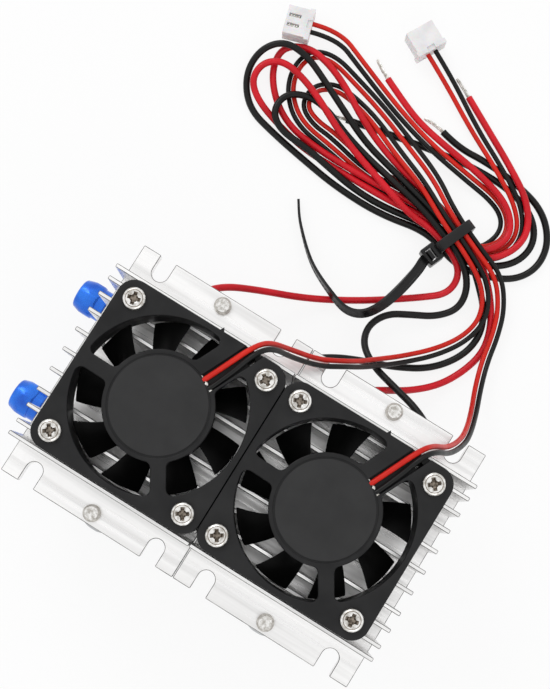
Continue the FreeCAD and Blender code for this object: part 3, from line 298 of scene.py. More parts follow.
# fine lines that the die leaves along the extrusion
drawnLines = (1100, 5, (0.02, 1, 1))
looks = {
    "sink": surface("extrudedAluminium", (0.84, 0.835, 0.83), 0.3, 1.0,
                    ((520, 5, (0.03, 1, 1)), (0.80, 0.795, 0.79), (0.96, 0.955, 0.95), 0.34, 0.58),
                    (drawnLines, 0.22, 0.42), (drawnLines, 0.2, 0.00003)),
    # bevelled edges of the extrusion: dull like a sawn edge, and painted much darker than its faces as shade,
    # standing in for the darker surroundings that the edges would reflect
    "cut": surface("cutAluminiumPaintedShade", (0.25, 0.245, 0.24), 0.5, 1.0,
                   ((700, 4, (0.4, 1, 1)), (0.10, 0.098, 0.095), (0.42, 0.41, 0.40))),
    "block": surface("milledAluminium", (0.70, 0.71, 0.725), 0.38, 1.0,
                     ((45, 2), (0.66, 0.67, 0.685), (0.75, 0.755, 0.765)),
                     ((500, 3, (1, 0.05, 1)), 0.3, 0.5)),
    "bar": surface("sheetSteel", (0.56, 0.57, 0.585), 0.4, 1.0,
                   ((80,), (0.50, 0.51, 0.525), (0.60, 0.61, 0.62)),
                   ((700, 3, (1, 0.04, 1)), 0.32, 0.52)),
    "nickel": surface("nickelPlate", (0.76, 0.745, 0.715), 0.2, 1.0,
                      ((1100, 3), (0.46, 0.44, 0.405), (0.86, 0.85, 0.83), 0.36, 0.6),
                      ((1400, 3), 0.12, 0.34)),
    # thread flanks: duller than the faces round them, and painted darker as shade between the threads
    "thread": surface("threadNickelPaintedShade", (0.60, 0.58, 0.545), 0.42, 1.0,
                      ((1500,), (0.36, 0.34, 0.31), (0.68, 0.66, 0.625))),
    # cross recesses: browner and duller than the faces round them, and painted darker as the shade that falls
    # in the recess
    "recess": surface("recessNickelPaintedShade", (0.34, 0.29, 0.25), 0.42, 1.0,
                      ((1500,), (0.08, 0.065, 0.05), (0.36, 0.31, 0.26))),
    # fan frame: fine spark-eroded grain, a little dust-grey drift
    "matte": surface("mattePlastic", (0.011, 0.011, 0.0115), 0.5, 0.0,
                     ((140,), (0.009, 0.009, 0.0095), (0.018, 0.018, 0.0185)),
                     ((240,), 0.4, 0.58), ((5200, 2), 0.3, 0.00003), Specular_IOR_Level=0.22),
    # smooth disc in the middle of each fan, a shade lighter than the frame
    "disc": surface("discPlastic", (0.02, 0.02, 0.0205), 0.55, 0.0,
                    ((160,), (0.02, 0.02, 0.0205), (0.028, 0.028, 0.0285)),
                    grain=((2600, 2), 0.12, 0.00002), Specular_IOR_Level=0.26),
    # rotor: smoother than the frame; its colour and its weak reflections are darkened as painted shade, since
    # the blades face down and sideways inside the duct
    "gloss": surface("glossPlasticPaintedShade", (0.004, 0.004, 0.004), 0.5, 0.0,
                     ((150,), (0.002, 0.002, 0.002), (0.006, 0.006, 0.006)),
                     ((300,), 0.42, 0.56), Specular_IOR_Level=0.1),
    "blue": surface("blueAnodised", (0.02, 0.16, 0.76), 0.26, 0.6,
                    ((260,), (0.008, 0.10, 0.60), (0.02, 0.20, 0.86)),
                    ((900,), 0.2, 0.36), Coat_Weight=0.2, Coat_Roughness=0.1),
    "powerRed": insulation("powerRed", (0.52, 0.005, 0.012), (0.70, 0.012, 0.024), 0.32),
    "leadRed": insulation("leadRed", (0.56, 0.012, 0.006), (0.70, 0.02, 0.010), 0.34),
    "wireBlack": insulation("wireBlack", (0.003, 0.0032, 0.003), (0.007, 0.0072, 0.007), 0.34),
    "tinned": surface("tinnedCopper", (0.66, 0.64, 0.60), 0.26, 1.0,
                      ((1300,), (0.34, 0.32, 0.275), (0.94, 0.93, 0.90)), ((2500,), 0.18, 0.42)),
    "nylon": surface("mouldedNylon", (0.68, 0.67, 0.68), 0.36, 0.0,
                     ((260,), (0.74, 0.73, 0.74), (0.87, 0.86, 0.865)), grain=((3000,), 0.1, 0.00002),
                     Subsurface_Weight=0.2, Subsurface_Scale=0.0008, Specular_IOR_Level=0.35),
    "tie": surface("tieNylon", (0.006, 0.006, 0.0065), 0.3, 0.0,
                   ((180,), (0.004, 0.004, 0.0045), (0.010, 0.010, 0.0105)),
                   ((350,), 0.22, 0.38), Specular_IOR_Level=0.3),
    "ceramic": surface("aluminaCeramic", (0.86, 0.86, 0.83), 0.5, 0.0,
                       ((900,), (0.82, 0.82, 0.79), (0.9, 0.9, 0.875)), grain=((4000,), 0.15, 0.00002)),
    "sealant": surface("whiteSealant", (0.84, 0.835, 0.81), 0.45, 0.0,
                       ((300,), (0.76, 0.755, 0.73), (0.88, 0.875, 0.855)),
                       grain=((500, 3, (1, 1, 0.4)), 0.4, 0.0001)),
    "magnet": hiddenFinish("bondedMagnet", (0.03, 0.028, 0.027), (0.06, 0.055, 0.052), 0.6, 0.0),
    "bronze": hiddenFinish("sinteredBronze", (0.42, 0.29, 0.12), (0.58, 0.42, 0.2), 0.45, 1.0),
    "winding": hiddenFinish("enamelledCopper", (0.32, 0.11, 0.04), (0.5, 0.19, 0.07), 0.35, 1.0),
    "board": hiddenFinish("solderMask", (0.01, 0.07, 0.03), (0.02, 0.11, 0.05), 0.35, 0.0),
    "shaft": hiddenFinish("groundSteel", (0.5, 0.51, 0.52), (0.62, 0.63, 0.64), 0.2, 1.0),
}
print("materials made")


# Plain CAD nodes that keep their shape and only get a finish
keptLooks = {
    "clamp_bar": "bar", "cooler_hot_plate": "ceramic", "cooler_cold_plate": "ceramic",
    "cooler_core": "sealant", "fan_magnet": "magnet", "fan_bearing": "bronze", "fan_stator": "winding",
    "fan_board": "board", "fan_shaft": "shaft",
}
keptNodes = {node + "_" + side: look for node, look in keptLooks.items() for side in sides}
keptNodes["water_block"] = "block"
for node, look in keptNodes.items():
    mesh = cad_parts[node].data
    mesh.materials.clear()
    mesh.materials.append(looks[look])


# Fan frame

fan = {
    "half": 20.0 * mm,
    "corner": 3.8 * mm,
    "duct": 18.7 * mm,
    "hub": 11.7 * mm,
    "plate": 1.6 * mm,
    "openingFillet": 1.4 * mm,
    "rim": 0.22 * mm,
    "holePitch": 32.0 * mm,
    "hole": 1.7 * mm,
    # raised disc in the middle and the groove round it
    "discRadius": 10.35 * mm,
    "discRise": 0.06 * mm,
    "discRim": 0.12 * mm,
    "grooveRadius": 10.7 * mm,
    "grooveDepth": 0.18 * mm,
    "grooveOverlap": 0.02 * mm,
    # channel for the leads: direction in degrees, reach to its left and right, depth
    "channelAngle": 65,
    "channelLeft": 0.45 * mm,
    "channelRight": 3.4 * mm,
    "channelDepth": 1.3 * mm,
    # small opening through the frame beside the leads: near, far, left and right edge along the channel
    "window": (20.0 * mm, 21.8 * mm, 2.3 * mm, 3.4 * mm),
    # struts: direction in degrees, then how far they reach left and right of it
    "struts": ((65, 3.6 * mm, 3.95 * mm), (179, 1.65 * mm, 1.65 * mm), (302, 1.65 * mm, 1.65 * mm)),
    # pointed nub on the back edge: place, half width, height, seat in the frame, lowest and highest
    # level under the top
    "nub": (2.9 * mm, 0.5 * mm, 0.8 * mm, 0.1 * mm, 1.0 * mm, 0.1 * mm),
}


def frameSquare():
    half = fan["half"]
    return roundedBox(-half, -half, half, half, fan["corner"], 10)


def openingCorner(direction, edge, way, radius, outward):
    # arc that rounds the corner between a strut's edge and a circle, from the edge to the circle
    fillet = fan["openingFillet"]
    reach = radius - fillet if outward else radius + fillet
    across = way * (edge + fillet)
    along = math.sqrt(reach ** 2 - across ** 2)
    start = math.radians(-90 * way)
    end = math.atan2(across, along) + (0 if outward else math.pi)
    turn = (end - start + math.pi) % (2 * math.pi) - math.pi
    points = []
    for step in range(8):
        angle = start + turn * step / 7
        spot = Vector((along + fillet * math.cos(angle), across + fillet * math.sin(angle), 0))
        spot.rotate(Matrix.Rotation(math.radians(direction), 3, "Z"))
        points.append((spot.x, spot.y))
    return points


def arcBetween(start, end, steps, way):
    # points strictly between two places on one circle round the fan's axis
    first, last = math.atan2(start[1], start[0]), math.atan2(end[1], end[0])
    sweep = (last - first) % (2 * math.pi) if way > 0 else -((first - last) % (2 * math.pi))
    radius = math.hypot(*start)
    return [polar(radius, math.degrees(first + sweep * step / steps)) for step in range(1, steps)]


def strutOpening(before, after):
    # outline of the opening from the left edge of one strut to the right edge of the next
    farStart = openingCorner(before[0], before[1], 1, fan["duct"], True)
    farEnd = openingCorner(after[0], after[2], -1, fan["duct"], True)[::-1]
    nearStart = openingCorner(after[0], after[2], -1, fan["hub"], False)
    nearEnd = openingCorner(before[0], before[1], 1, fan["hub"], False)[::-1]
    return (farStart + arcBetween(farStart[-1], farEnd[0], 48, 1) + farEnd
            + nearStart + arcBetween(nearStart[-1], nearEnd[0], 32, -1) + nearEnd)


def channelPoint(along, right):
    angle = math.radians(fan["channelAngle"])
    return (along * math.cos(angle) + right * math.sin(angle),
            along * math.sin(angle) - right * math.cos(angle))


def notchedSquare():
    # outline with the lead channel running in from the back edge to the round hole in the middle
    outline = frameSquare()
    rise = math.sin(math.radians(fan["channelAngle"]))
    inner, outer = [], []
    for offset in (fan["channelRight"], -fan["channelLeft"]):
        along = math.sqrt(fan["grooveRadius"] ** 2 - offset ** 2)
        inner.append(channelPoint(along, offset))
        outer.append(channelPoint(along + (fan["half"] - inner[-1][1]) / rise, offset))
    notch = [outer[0], inner[0]] + arcBetween(inner[0], inner[1], 64, -1) + [inner[1], outer[1]]
    firstQuarter = len(outline) // 4
    return outline[:firstQuarter] + notch + outline[firstQuarter:]


def makeFanFrame(side):
    low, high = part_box("fan_frame_" + side)
    bottom, top = low.z, high.z
    plateLow, channelFloor = top - fan["plate"], top - fan["channelDepth"]
    holes = [circlePoints(fan["hole"], ix * fan["holePitch"] / 2, iy * fan["holePitch"] / 2, 32)
             for ix in (-1, 1) for iy in (-1, 1)]
    struts = fan["struts"]
    openings = [strutOpening(struts[number], struts[(number + 1) % 3]) for number in range(3)]
    near, far, left, right = fan["window"]
    window = [channelPoint(near, left), channelPoint(far, left),
              channelPoint(far, right), channelPoint(near, right)]
    nubX, half, height, seat, under, over = fan["nub"]
    back = fan["half"]
    nubOutline = [(nubX - half, back - seat), (nubX + half, back - seat), (nubX, back + height)]
    ring = prism([frameSquare(), circlePoints(fan["duct"], steps=128), window] + holes, bottom, plateLow)
    plate = prism([frameSquare(), window] + openings + holes, plateLow, channelFloor)
    face = prism([notchedSquare()] + openings + holes, channelFloor, top, fan["rim"])
    groove = prism([circlePoints(fan["grooveRadius"] + fan["grooveOverlap"])], channelFloor,
                   top - fan["grooveDepth"])
    middle = prism([circlePoints(fan["discRadius"])], channelFloor, top + fan["discRise"], fan["discRim"])
    for discFace in middle.faces:
        discFace.material_index = 1
    nub = prism([nubOutline], top - under, top - over)
    bm = joined([ring, plate, face, groove, middle, nub])
    place(bm, Matrix.Translation((low.x + fan["half"], 0, 0)))
    return finishPiece(bm, "fan_frame_" + side, "module", ("matte", "disc"))


# Fan rotor: a cup and nine twisted blades

rotor = {
    "blades": 9,
    "cup": 11.4 * mm,
    "cupWall": 1.0 * mm,
    "cupLow": 0.8 * mm,
    "cupHigh": 7.9 * mm,
    "cupFloor": 1.0 * mm,
    "cupChamfer": 0.4 * mm,
    "bore": 0.95 * mm,
    "root": 10.9 * mm,
    "tip": 18.2 * mm,
    "bladeLow": 1.0 * mm,
    "bladeHeight": 6.0 * mm,
    "rootSweep": 24.0,
    "tipSweep": 25.0,
    "lean": -6.0,
    "sag": 0.2 * mm,
    # how far each rotor is turned at rest, in degrees
    "turns": {"left": 0, "right": 29},
    "thickness": 0.9 * mm,
    "edge": 0.15 * mm,
}


def makeBlade():
    bm = bmesh.new()
    bmesh.ops.create_grid(bm, x_segments=9, y_segments=10, size=1)
    for vert in bm.verts:
        along, down = (vert.co.x + 1) / 2, (vert.co.y + 1) / 2
        radius = rotor["root"] + (rotor["tip"] - rotor["root"]) * along
        sweep = rotor["rootSweep"] + (rotor["tipSweep"] - rotor["rootSweep"]) * along
        run = radius * math.tan(math.radians(sweep / 2))
        shift = radius * math.tan(math.radians(rotor["lean"] * along))
        sag = rotor["sag"] * math.sin(2 * math.pi * down)
        across = shift + run * (2 * down - 1) + sag
        height = rotor["bladeLow"] + rotor["bladeHeight"] * (1 - down)
        vert.co = (math.sqrt(radius ** 2 - across ** 2), across, height)
    bmesh.ops.solidify(bm, geom=bm.faces[:], thickness=rotor["thickness"])
    bmesh.ops.recalc_face_normals(bm, faces=bm.faces)
    bevelEdges(bm, rotor["edge"], 1, 60)
    return bm


def makeRotor(side):
    low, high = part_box("fan_frame_" + side)
    centre = Vector((low.x + fan["half"], 0, low.z))
    outer, bottom, chamfer = rotor["cup"], rotor["cupLow"], rotor["cupChamfer"]
    inner, floor = outer - rotor["cupWall"], bottom + rotor["cupFloor"]
    cup = turned([(rotor["bore"], bottom), (outer - chamfer, bottom), (outer, bottom + chamfer),
                  (outer, rotor["cupHigh"]), (inner, rotor["cupHigh"]), (inner, floor),
                  (rotor["bore"], floor)], 96, closed=True)
    blades = makeBlade()
    step = 360 / rotor["blades"]
    bmesh.ops.spin(blades, geom=blades.verts[:] + blades.edges[:] + blades.faces[:], cent=(0, 0, 0),
                   axis=(0, 0, 1), dvec=(0, 0, 0), angle=math.radians(step * (rotor["blades"] - 1)),
                   steps=rotor["blades"] - 1, use_merge=False, use_duplicate=True)
    bm = joined([cup, blades])
    place(bm, Matrix.Translation(centre) @ turnZ(rotor["turns"][side]))
    return finishPiece(bm, "fan_rotor_" + side, "rotor_" + side, ("gloss",))


# Screws

screw = {
    "shank": 1.4 * mm,
    "shankLength": 16.0 * mm,
    "head": 2.45 * mm,
    "headHeight": 1.2 * mm,
    # how far the head's rounded edge reaches inward and down
    "domeAcross": 0.9 * mm,
    "domeDown": 0.75 * mm,
    "recessReach": 1.75 * mm,
    "recessWidth": 0.95 * mm,
    "recessDepth": 0.8 * mm,
    "recessCone": 0.95 * mm,
    # what is left at the bottom of the recess, along and across an arm and of the cone
    "recessBottom": (0.45, 0.6, 0.45),
    "recessEdge": 0.06 * mm,
    # turn of each cross recess in degrees, left then right, in the order of the holes
    "turns": {"left": (38, 12, 30, 55), "right": (33, 20, 8, 40)},
}


def crossRecess(top):
    # two crossed bars that narrow towards the bottom, as a driver's tip does
    reach, half, depth = screw["recessReach"], screw["recessWidth"] / 2, screw["recessDepth"]
    along, across, coneBottom = screw["recessBottom"]
    arms = []
    for turn in (0, 90):
        arm = cuboid((-reach, -half, top - depth), (reach, half, top + 0.4 * mm))
        for vert in arm.verts:
            if vert.co.z < top - depth / 2:
                vert.co.x *= along
                vert.co.y *= across
        arms.append(place(arm, turnZ(turn)))
    # eight-sided cone that cuts the corners between the arms
    cone = disc(screw["recessCone"] * coneBottom, top - depth, top + 0.3 * mm, 8, screw["recessCone"] * 1.15)
    return combine(arms[0], [arms[1], cone], "UNION")


def makeFanScrew():
    radius, height, shank = screw["head"], screw["headHeight"], screw["shank"]
    across, down, length = screw["domeAcross"], screw["domeDown"], screw["shankLength"]
    profile = [(0, height)]
    for step in range(1, 9):
        angle = math.radians(90 - 90 * step / 8)
        profile.append((radius - across + across * math.cos(angle), height - down + down * math.sin(angle)))
    profile += [(radius, 0.0), (shank, 0.0), (shank, -length), (0, -length)]
    bm = combine(turned(profile, 48), [crossRecess(height)], "DIFFERENCE")
    # faces inside the cross recess take the recess material, painted darker as shade
    for face in bm.faces:
        middle = face.calc_center_median()
        inside = math.hypot(middle.x, middle.y) < screw["recessReach"] * 1.05
        if inside and 0 < middle.z < height - 0.02 * mm:
            face.material_index = 1
    bevelEdges(bm, screw["recessEdge"], 1, 50, lambda e: all(v.co.z > height - 0.3 * mm for v in e.verts))
    return bm


def makeFanScrews(side):
    low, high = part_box("fan_frame_" + side)
    centre = Vector((low.x + fan["half"], 0, high.z))
    spots = [Vector((ix, iy, 0)) * (fan["holePitch"] / 2) for ix in (-1, 1) for iy in (-1, 1)]
    bm = copiesOf(makeFanScrew(), [Matrix.Translation(centre + spot) @ turnZ(turn)
                                   for spot, turn in zip(spots, screw["turns"][side])])
    return finishPiece(bm, "fan_screws_" + side, "module", ("nickel", "recess"))


clamp = {
    "radius": 1.95 * mm,
    "root": 1.7 * mm,
    "pitch": 0.7 * mm,
    "threaded": 3.2 * mm,
    "head": 3.5 * mm,
    "headHeight": 2.4 * mm,
    "headChamfer": 0.5 * mm,
    "offset": 27.2 * mm,
    # cone at the tip: height, radius of its foot and of its face
    "tip": 0.4 * mm,
    "foot": 1.9 * mm,
    "face": 1.5 * mm,
}


def makeClampScrews():
    low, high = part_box("clamp_screws")
    height = high.z - low.z
    radius, head, chamfer = clamp["radius"], clamp["head"], clamp["headChamfer"]
    level = height - clamp["threaded"]
    profile = [(0, 0), (head - chamfer, 0), (head, chamfer), (head, clamp["headHeight"]),
               (radius, clamp["headHeight"]), (radius, level)]
    while level < height - clamp["tip"] - clamp["pitch"]:
        profile += [(clamp["root"], level + clamp["pitch"] / 2), (radius, level + clamp["pitch"])]
        level += clamp["pitch"]
    profile += [(clamp["foot"], height - clamp["tip"]), (clamp["face"], height), (0, height)]
    prototype = turned(profile, 48)
    # the threaded part takes the thread material, painted darker as shade between the threads
    for face in prototype.faces:
        if height - clamp["threaded"] < face.calc_center_median().z < height - 0.01 * mm:
            face.material_index = 1
    spots = []
    for side in sides:
        sinkLow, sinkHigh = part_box("heat_sink_" + side)
        spots += [((sinkLow.x + sinkHigh.x) / 2, iy * clamp["offset"], low.z) for iy in (-1, 1)]
    bm = copiesOf(prototype, [Matrix.Translation(spot) for spot in spots])
    return finishPiece(bm, "clamp_screws", "module", ("nickel", "thread"))


# Heat sinks

sink = {
    "base": 3.5 * mm,
    "fin": 0.9 * mm,
    "pitch": 5.0 * mm,
    "outerFin": 21.0 * mm,
    "grooveStep": 1.95 * mm,
    "notchWidth": 4.0 * mm,
    "notchDepth": 5.6 * mm,
    "notchPitch": 32.0 * mm,
    "edge": 0.16 * mm,
    "finEdge": 0.15 * mm,
    "finSeat": 0.3 * mm,
}


def sinkOutline(halfLength, halfWidth):
    # rectangle with two round-bottomed notches in each long side
    radius = sink["notchWidth"] / 2
    bottom = halfWidth - sink["notchDepth"] + radius
    upper = [(halfLength, halfWidth)]
    for middle in (sink["notchPitch"] / 2, -sink["notchPitch"] / 2):
        arc = [polar(radius, -angle) for angle in range(0, 181, 15)]
        upper.append((middle + radius, halfWidth))
        upper += [(middle + x, bottom + y) for x, y in arc]
        upper.append((middle - radius, halfWidth))
    upper.append((-halfLength, halfWidth))
    return upper + [(-x, -y) for x, y in upper]


def makeSink(side):
    low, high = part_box("heat_sink_" + side)
    halfLength, halfWidth, half = (high.x - low.x) / 2, high.y, sink["fin"] / 2
    flange = low.z + sink["base"]
    base = prism([sinkOutline(halfLength, halfWidth)], low.z, flange)
    # the rounded edges take the second material, painted darker as edge shade
    bevelEdges(base, sink["edge"], 1, 30, look=1)
    places = [0]
    for way in (-1, 1):
        places += [way * sink["pitch"], way * 2 * sink["pitch"], way * sink["outerFin"]]
        places += [way * (fan["holePitch"] / 2 + step * sink["grooveStep"]) for step in (-1, 1)]
    fins = []
    for y in places:
        fin = cuboid((-halfLength, y - half, flange - sink["finSeat"]), (halfLength, y + half, high.z))
        # the fins' rounded edges take the second material too, painted darker as edge shade
        fins.append(bevelEdges(fin, sink["finEdge"], 1, 30, look=1))
    bm = place(joined([base] + fins), Matrix.Translation(((low.x + high.x) / 2, 0, 0)))
    return finishPiece(bm, "heat_sink_" + side, "module", ("sink", "cut"))


# Hose fittings

fitting = {
    "port": 13.8 * mm,
    "spigot": 2.45 * mm,
    "spigotLength": 5.9 * mm,
    "neck": 3.2 * mm,
    "neckLength": 9.0 * mm,
    "grooveDepth": 0.25 * mm,
    "grooveWidth": 0.4 * mm,
    "collar": 3.8 * mm,
    "collarLength": 2.2 * mm,
    "collarEdge": 0.2 * mm,
    "nut": 4.3 * mm,
    "nutCorners": 1.08,
    "nutChamfer": 0.35 * mm,
    "nutShoulder": 0.45,
    "nutLength": 5.1 * mm,
    "nutEdge": 0.12 * mm,
    "nose": 3.35 * mm,
    "noseStep": 0.3 * mm,
    "bore": 2.0 * mm,
    "boreDepth": 4.0 * mm,
}


def makeFitting(end, way):
    low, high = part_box("fitting_body_" + end)
    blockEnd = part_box("water_block")[0].x
    port = Matrix.Translation((blockEnd, way * fitting["port"], (low.z + high.z) / 2))
    toPort = port @ Matrix.Rotation(math.radians(-90), 4, "Y")
    neck, collar, length = fitting["neck"], fitting["collar"], fitting["neckLength"]
    step, spigot, under = length - fitting["collarLength"], fitting["spigot"], -fitting["spigotLength"]
    groove, edge = neck - fitting["grooveDepth"], fitting["collarEdge"]
    bm = turned([(0, under), (spigot, under), (spigot, 0), (neck, 0), (neck, step - 0.5 * mm),
                 (groove, step - fitting["grooveWidth"]), (groove, step), (collar - edge, step),
                 (collar, step + edge), (collar, length), (0, length)], 64)
    finishPiece(place(bm, toPort), "fitting_body_" + end, "module", ("blue",))

    nut, chamfer, nose = fitting["nut"], fitting["nutChamfer"], fitting["nose"]
    far = length + fitting["nutLength"]
    hexagon = place(disc(nut * fitting["nutCorners"], length, far, 6), turnZ(30))
    shape = turned([(0, length), (nut - chamfer, length), (nut, length + chamfer),
                    (nut, length + fitting["nutLength"] * fitting["nutShoulder"]),
                    (nose + 0.15 * mm, far - fitting["noseStep"]), (nose - 0.2 * mm, far), (0, far)], 72)
    bm = combine(hexagon, [shape], "INTERSECT")
    bevelEdges(bm, fitting["nutEdge"], 2, 22)
    bore = disc(fitting["bore"], far - fitting["boreDepth"], length + 10 * mm, 48)
    bm = combine(bm, [bore], "DIFFERENCE")
    finishPiece(place(bm, toPort), "fitting_nut_" + end, "module", ("blue",), smoothAngle=20)


# Connectors

plug = {
    "length": 6.6 * mm,
    "width": 7.2 * mm,
    "height": 5.0 * mm,
    "edge": 0.12 * mm,
    "flange": 1.2 * mm,
    "lip": 0.4 * mm,
    # notch in the flange's top between two ears: half width and depth
    "notch": (1.0 * mm, 0.5 * mm),
    "poleOffset": 1.25 * mm,
    "windowLength": 3.0 * mm,
    "windowWidth": 0.9 * mm,
    "windowDepth": 1.2 * mm,
    "windowWall": 0.6 * mm,
    # pin openings in the far end: half width, lowest and highest level, depth
    "pin": (0.45 * mm, 1.8 * mm, 2.7 * mm, 0.5 * mm),
    # contact in each window: half width, margin at its ends and level of its face under the top
    "contact": (0.3 * mm, 0.1 * mm, 1.0 * mm),
    # crimped folds along it: number, start, pitch, length, half width, lowest and highest level
    # under the top
    "folds": (4, 0.35 * mm, 0.62 * mm, 0.34 * mm, 0.28 * mm, 1.05 * mm, 0.45 * mm),
    # the right plug lies with its plain side up
    "windowed": ("left",),
    # wire face centre from the seam (x, y) and pointing direction in degrees
    "places": {"left": ((-43.0 * mm, 99.7 * mm), 197.0), "right": ((-14.7 * mm, 110.0 * mm), 152.0)},
}


def makeConnector(side):
    (x, y), direction = plug["places"][side]
    toPlace = Matrix.Translation((seamX + x, y, 0)) @ turnZ(direction)
    wide, top, length, flange = plug["width"] / 2, plug["height"], plug["length"], plug["flange"]
    lip = wide + plug["lip"]
    body = cuboid((0, -wide, 0), (length, wide, top))
    bm = combine(body, [cuboid((0, -lip, 0), (flange, lip, top))], "UNION")
    half, depth = plug["notch"]
    notch = cuboid((-mm, -half, top - depth), (flange, half, top + mm))
    windowHalf, floor = plug["windowWidth"] / 2, top - plug["windowDepth"]
    far = length - plug["windowWall"]
    near = far - plug["windowLength"]
    pinHalf, pinLow, pinHigh, pinDepth = plug["pin"]
    contactHalf, margin, under = plug["contact"]
    number, first, pitch, foldLength, foldHalf, foldLow, foldHigh = plug["folds"]
    windows, pins, contacts = [], [], []
    for middle in (-plug["poleOffset"], plug["poleOffset"]):
        if side in plug["windowed"]:
            windows.append(cuboid((near, middle - windowHalf, floor),
                                  (far, middle + windowHalf, top + mm)))
        pins.append(cuboid((length - pinDepth, middle - pinHalf, pinLow),
                           (length + mm, middle + pinHalf, pinHigh)))
        contacts.append(cuboid((near + margin, middle - contactHalf, floor),
                               (far - margin, middle + contactHalf, top - under)))
        for fold in range(number):
            start = near + first + pitch * fold
            crimp = cuboid((start, middle - foldHalf, top - foldLow),
                           (start + foldLength, middle + foldHalf, top - foldHigh))
            contacts.append(bevelEdges(crimp, 0.1 * mm, 2, 30))
    bm = combine(bm, windows + [notch] + pins, "DIFFERENCE")
    bevelEdges(bm, plug["edge"], 2, 40)
    place(bm, toPlace)
    contacts = place(joined(contacts), toPlace)
    return (finishPiece(bm, "connector_housing_" + side, "module", ("nylon",)),
            finishPiece(contacts, "connector_contacts_" + side, "module", ("tinned",)))


# Cable tie

tie = {
    "place": (13.6 * mm, 72.2 * mm),
    "direction": -21.7,
    "width": 2.6 * mm,
    "thickness": 0.95 * mm,
    "edge": 0.15 * mm,
    "low": -3.9 * mm,
    "high": 4.8 * mm,
    "bottom": 1.0 * mm,
    "top": 7.7 * mm,
    "corner": 1.0 * mm,
    "headLength": 3.4 * mm,
    "headWidth": 4.6 * mm,
    "headHeight": 4.2 * mm,
    "headEdge": 0.3 * mm,
    # slot through the head: half width, far wall and near wall
    "slot": (1.5 * mm, 0.8 * mm, 0.9 * mm),
    # pawl in the slot: half width, far and near end, reach below and above the middle
    "pawl": (1.2 * mm, 1.2 * mm, 1.3 * mm, 1.2 * mm, 1.7 * mm),
    "tailThickness": 0.9 * mm,
    "tailThinning": 0.35,
    "rung": 0.10 * mm,
    # free tail: x from the seam, y, height, twist in degrees, width; lengths in mm
    "tail": (
        (11.1, 66.0, 4.3, 0, 2.6), (10.5, 64.2, 4.5, 0, 2.6), (10.3, 60.7, 5.2, 10, 2.5),
        (9.1, 54.3, 5.6, 30, 2.5), (7.3, 48.9, 5.7, 45, 2.4), (4.7, 45.4, 5.2, 55, 2.4),
        (0.9, 44.2, 4.5, 65, 2.4), (-4.1, 45.6, 4.0, 75, 2.3), (-12.2, 49.9, 2.0, 85, 2.2),
        (-19.5, 56.6, 1.4, 90, 1.8), (-23.3, 61.7, 1.2, 90, 1.0),
    ),
}


def smoothAlong(rows, count):
    # places, twists and widths read evenly from smooth curves through the rows
    lengths = [0.0]
    for before, after in zip(rows, rows[1:]):
        lengths.append(lengths[-1] + (Vector(after[:3]) - Vector(before[:3])).length)
    result = []
    for step in range(count + 1):
        target = lengths[-1] * step / count
        index = max(i for i in range(len(rows) - 1) if lengths[i] <= target + 1e-9)
        t = (target - lengths[index]) / (lengths[index + 1] - lengths[index])
        p0, p1 = rows[max(index - 1, 0)], rows[index]
        p2, p3 = rows[index + 1], rows[min(index + 2, len(rows) - 1)]
        result.append([0.5 * (2 * b + (c - a) * t + (2 * a - 5 * b + 4 * c - d) * t ** 2
                              + (3 * b - a - 3 * c + d) * t ** 3) for a, b, c, d in zip(p0, p1, p2, p3)])
    return result


def makeTail():
    rows = smoothAlong(tie["tail"], 90)
    last = len(rows) - 1
    bm = bmesh.new()
    rings = []
    for number, (x, y, z, twist, width) in enumerate(rows):
        here = Vector((x, y, z)) * mm + Vector((seamX, 0, 0))
        before, after = rows[max(number - 1, 0)], rows[min(number + 1, last)]
        along = (Vector(after[:3]) - Vector(before[:3])).normalized()
        level = along.cross(Vector((0, 0, 1))).normalized()
        upward = level.cross(along)
        turn = math.radians(twist)
        broad = level * math.cos(turn) + upward * math.sin(turn)
        thin = upward * math.cos(turn) - level * math.sin(turn)
        half = width * mm / 2
        thick = tie["tailThickness"] / 2 * (1 - tie["tailThinning"] * number / last)
        track = thick - (tie["rung"] if number % 2 else 0)
        # outline with a toothed track between two smooth margins on one face
        outline = ((-half, -thick), (half, -thick), (half, thick), (half * 0.55, thick),
                   (half * 0.5, track), (-half * 0.5, track), (-half * 0.55, thick), (-half, thick))
        verts = [bm.verts.new(here + broad * a + thin * b) for a, b in outline]
        rings.append([bm.edges.new((verts[i - 1], verts[i])) for i in range(len(verts))])
    for first, second in zip(rings, rings[1:]):
        bmesh.ops.bridge_loops(bm, edges=first + second)
    bmesh.ops.holes_fill(bm, edges=rings[0] + rings[-1], sides=10)
    bmesh.ops.recalc_face_normals(bm, faces=bm.faces)
    return bm


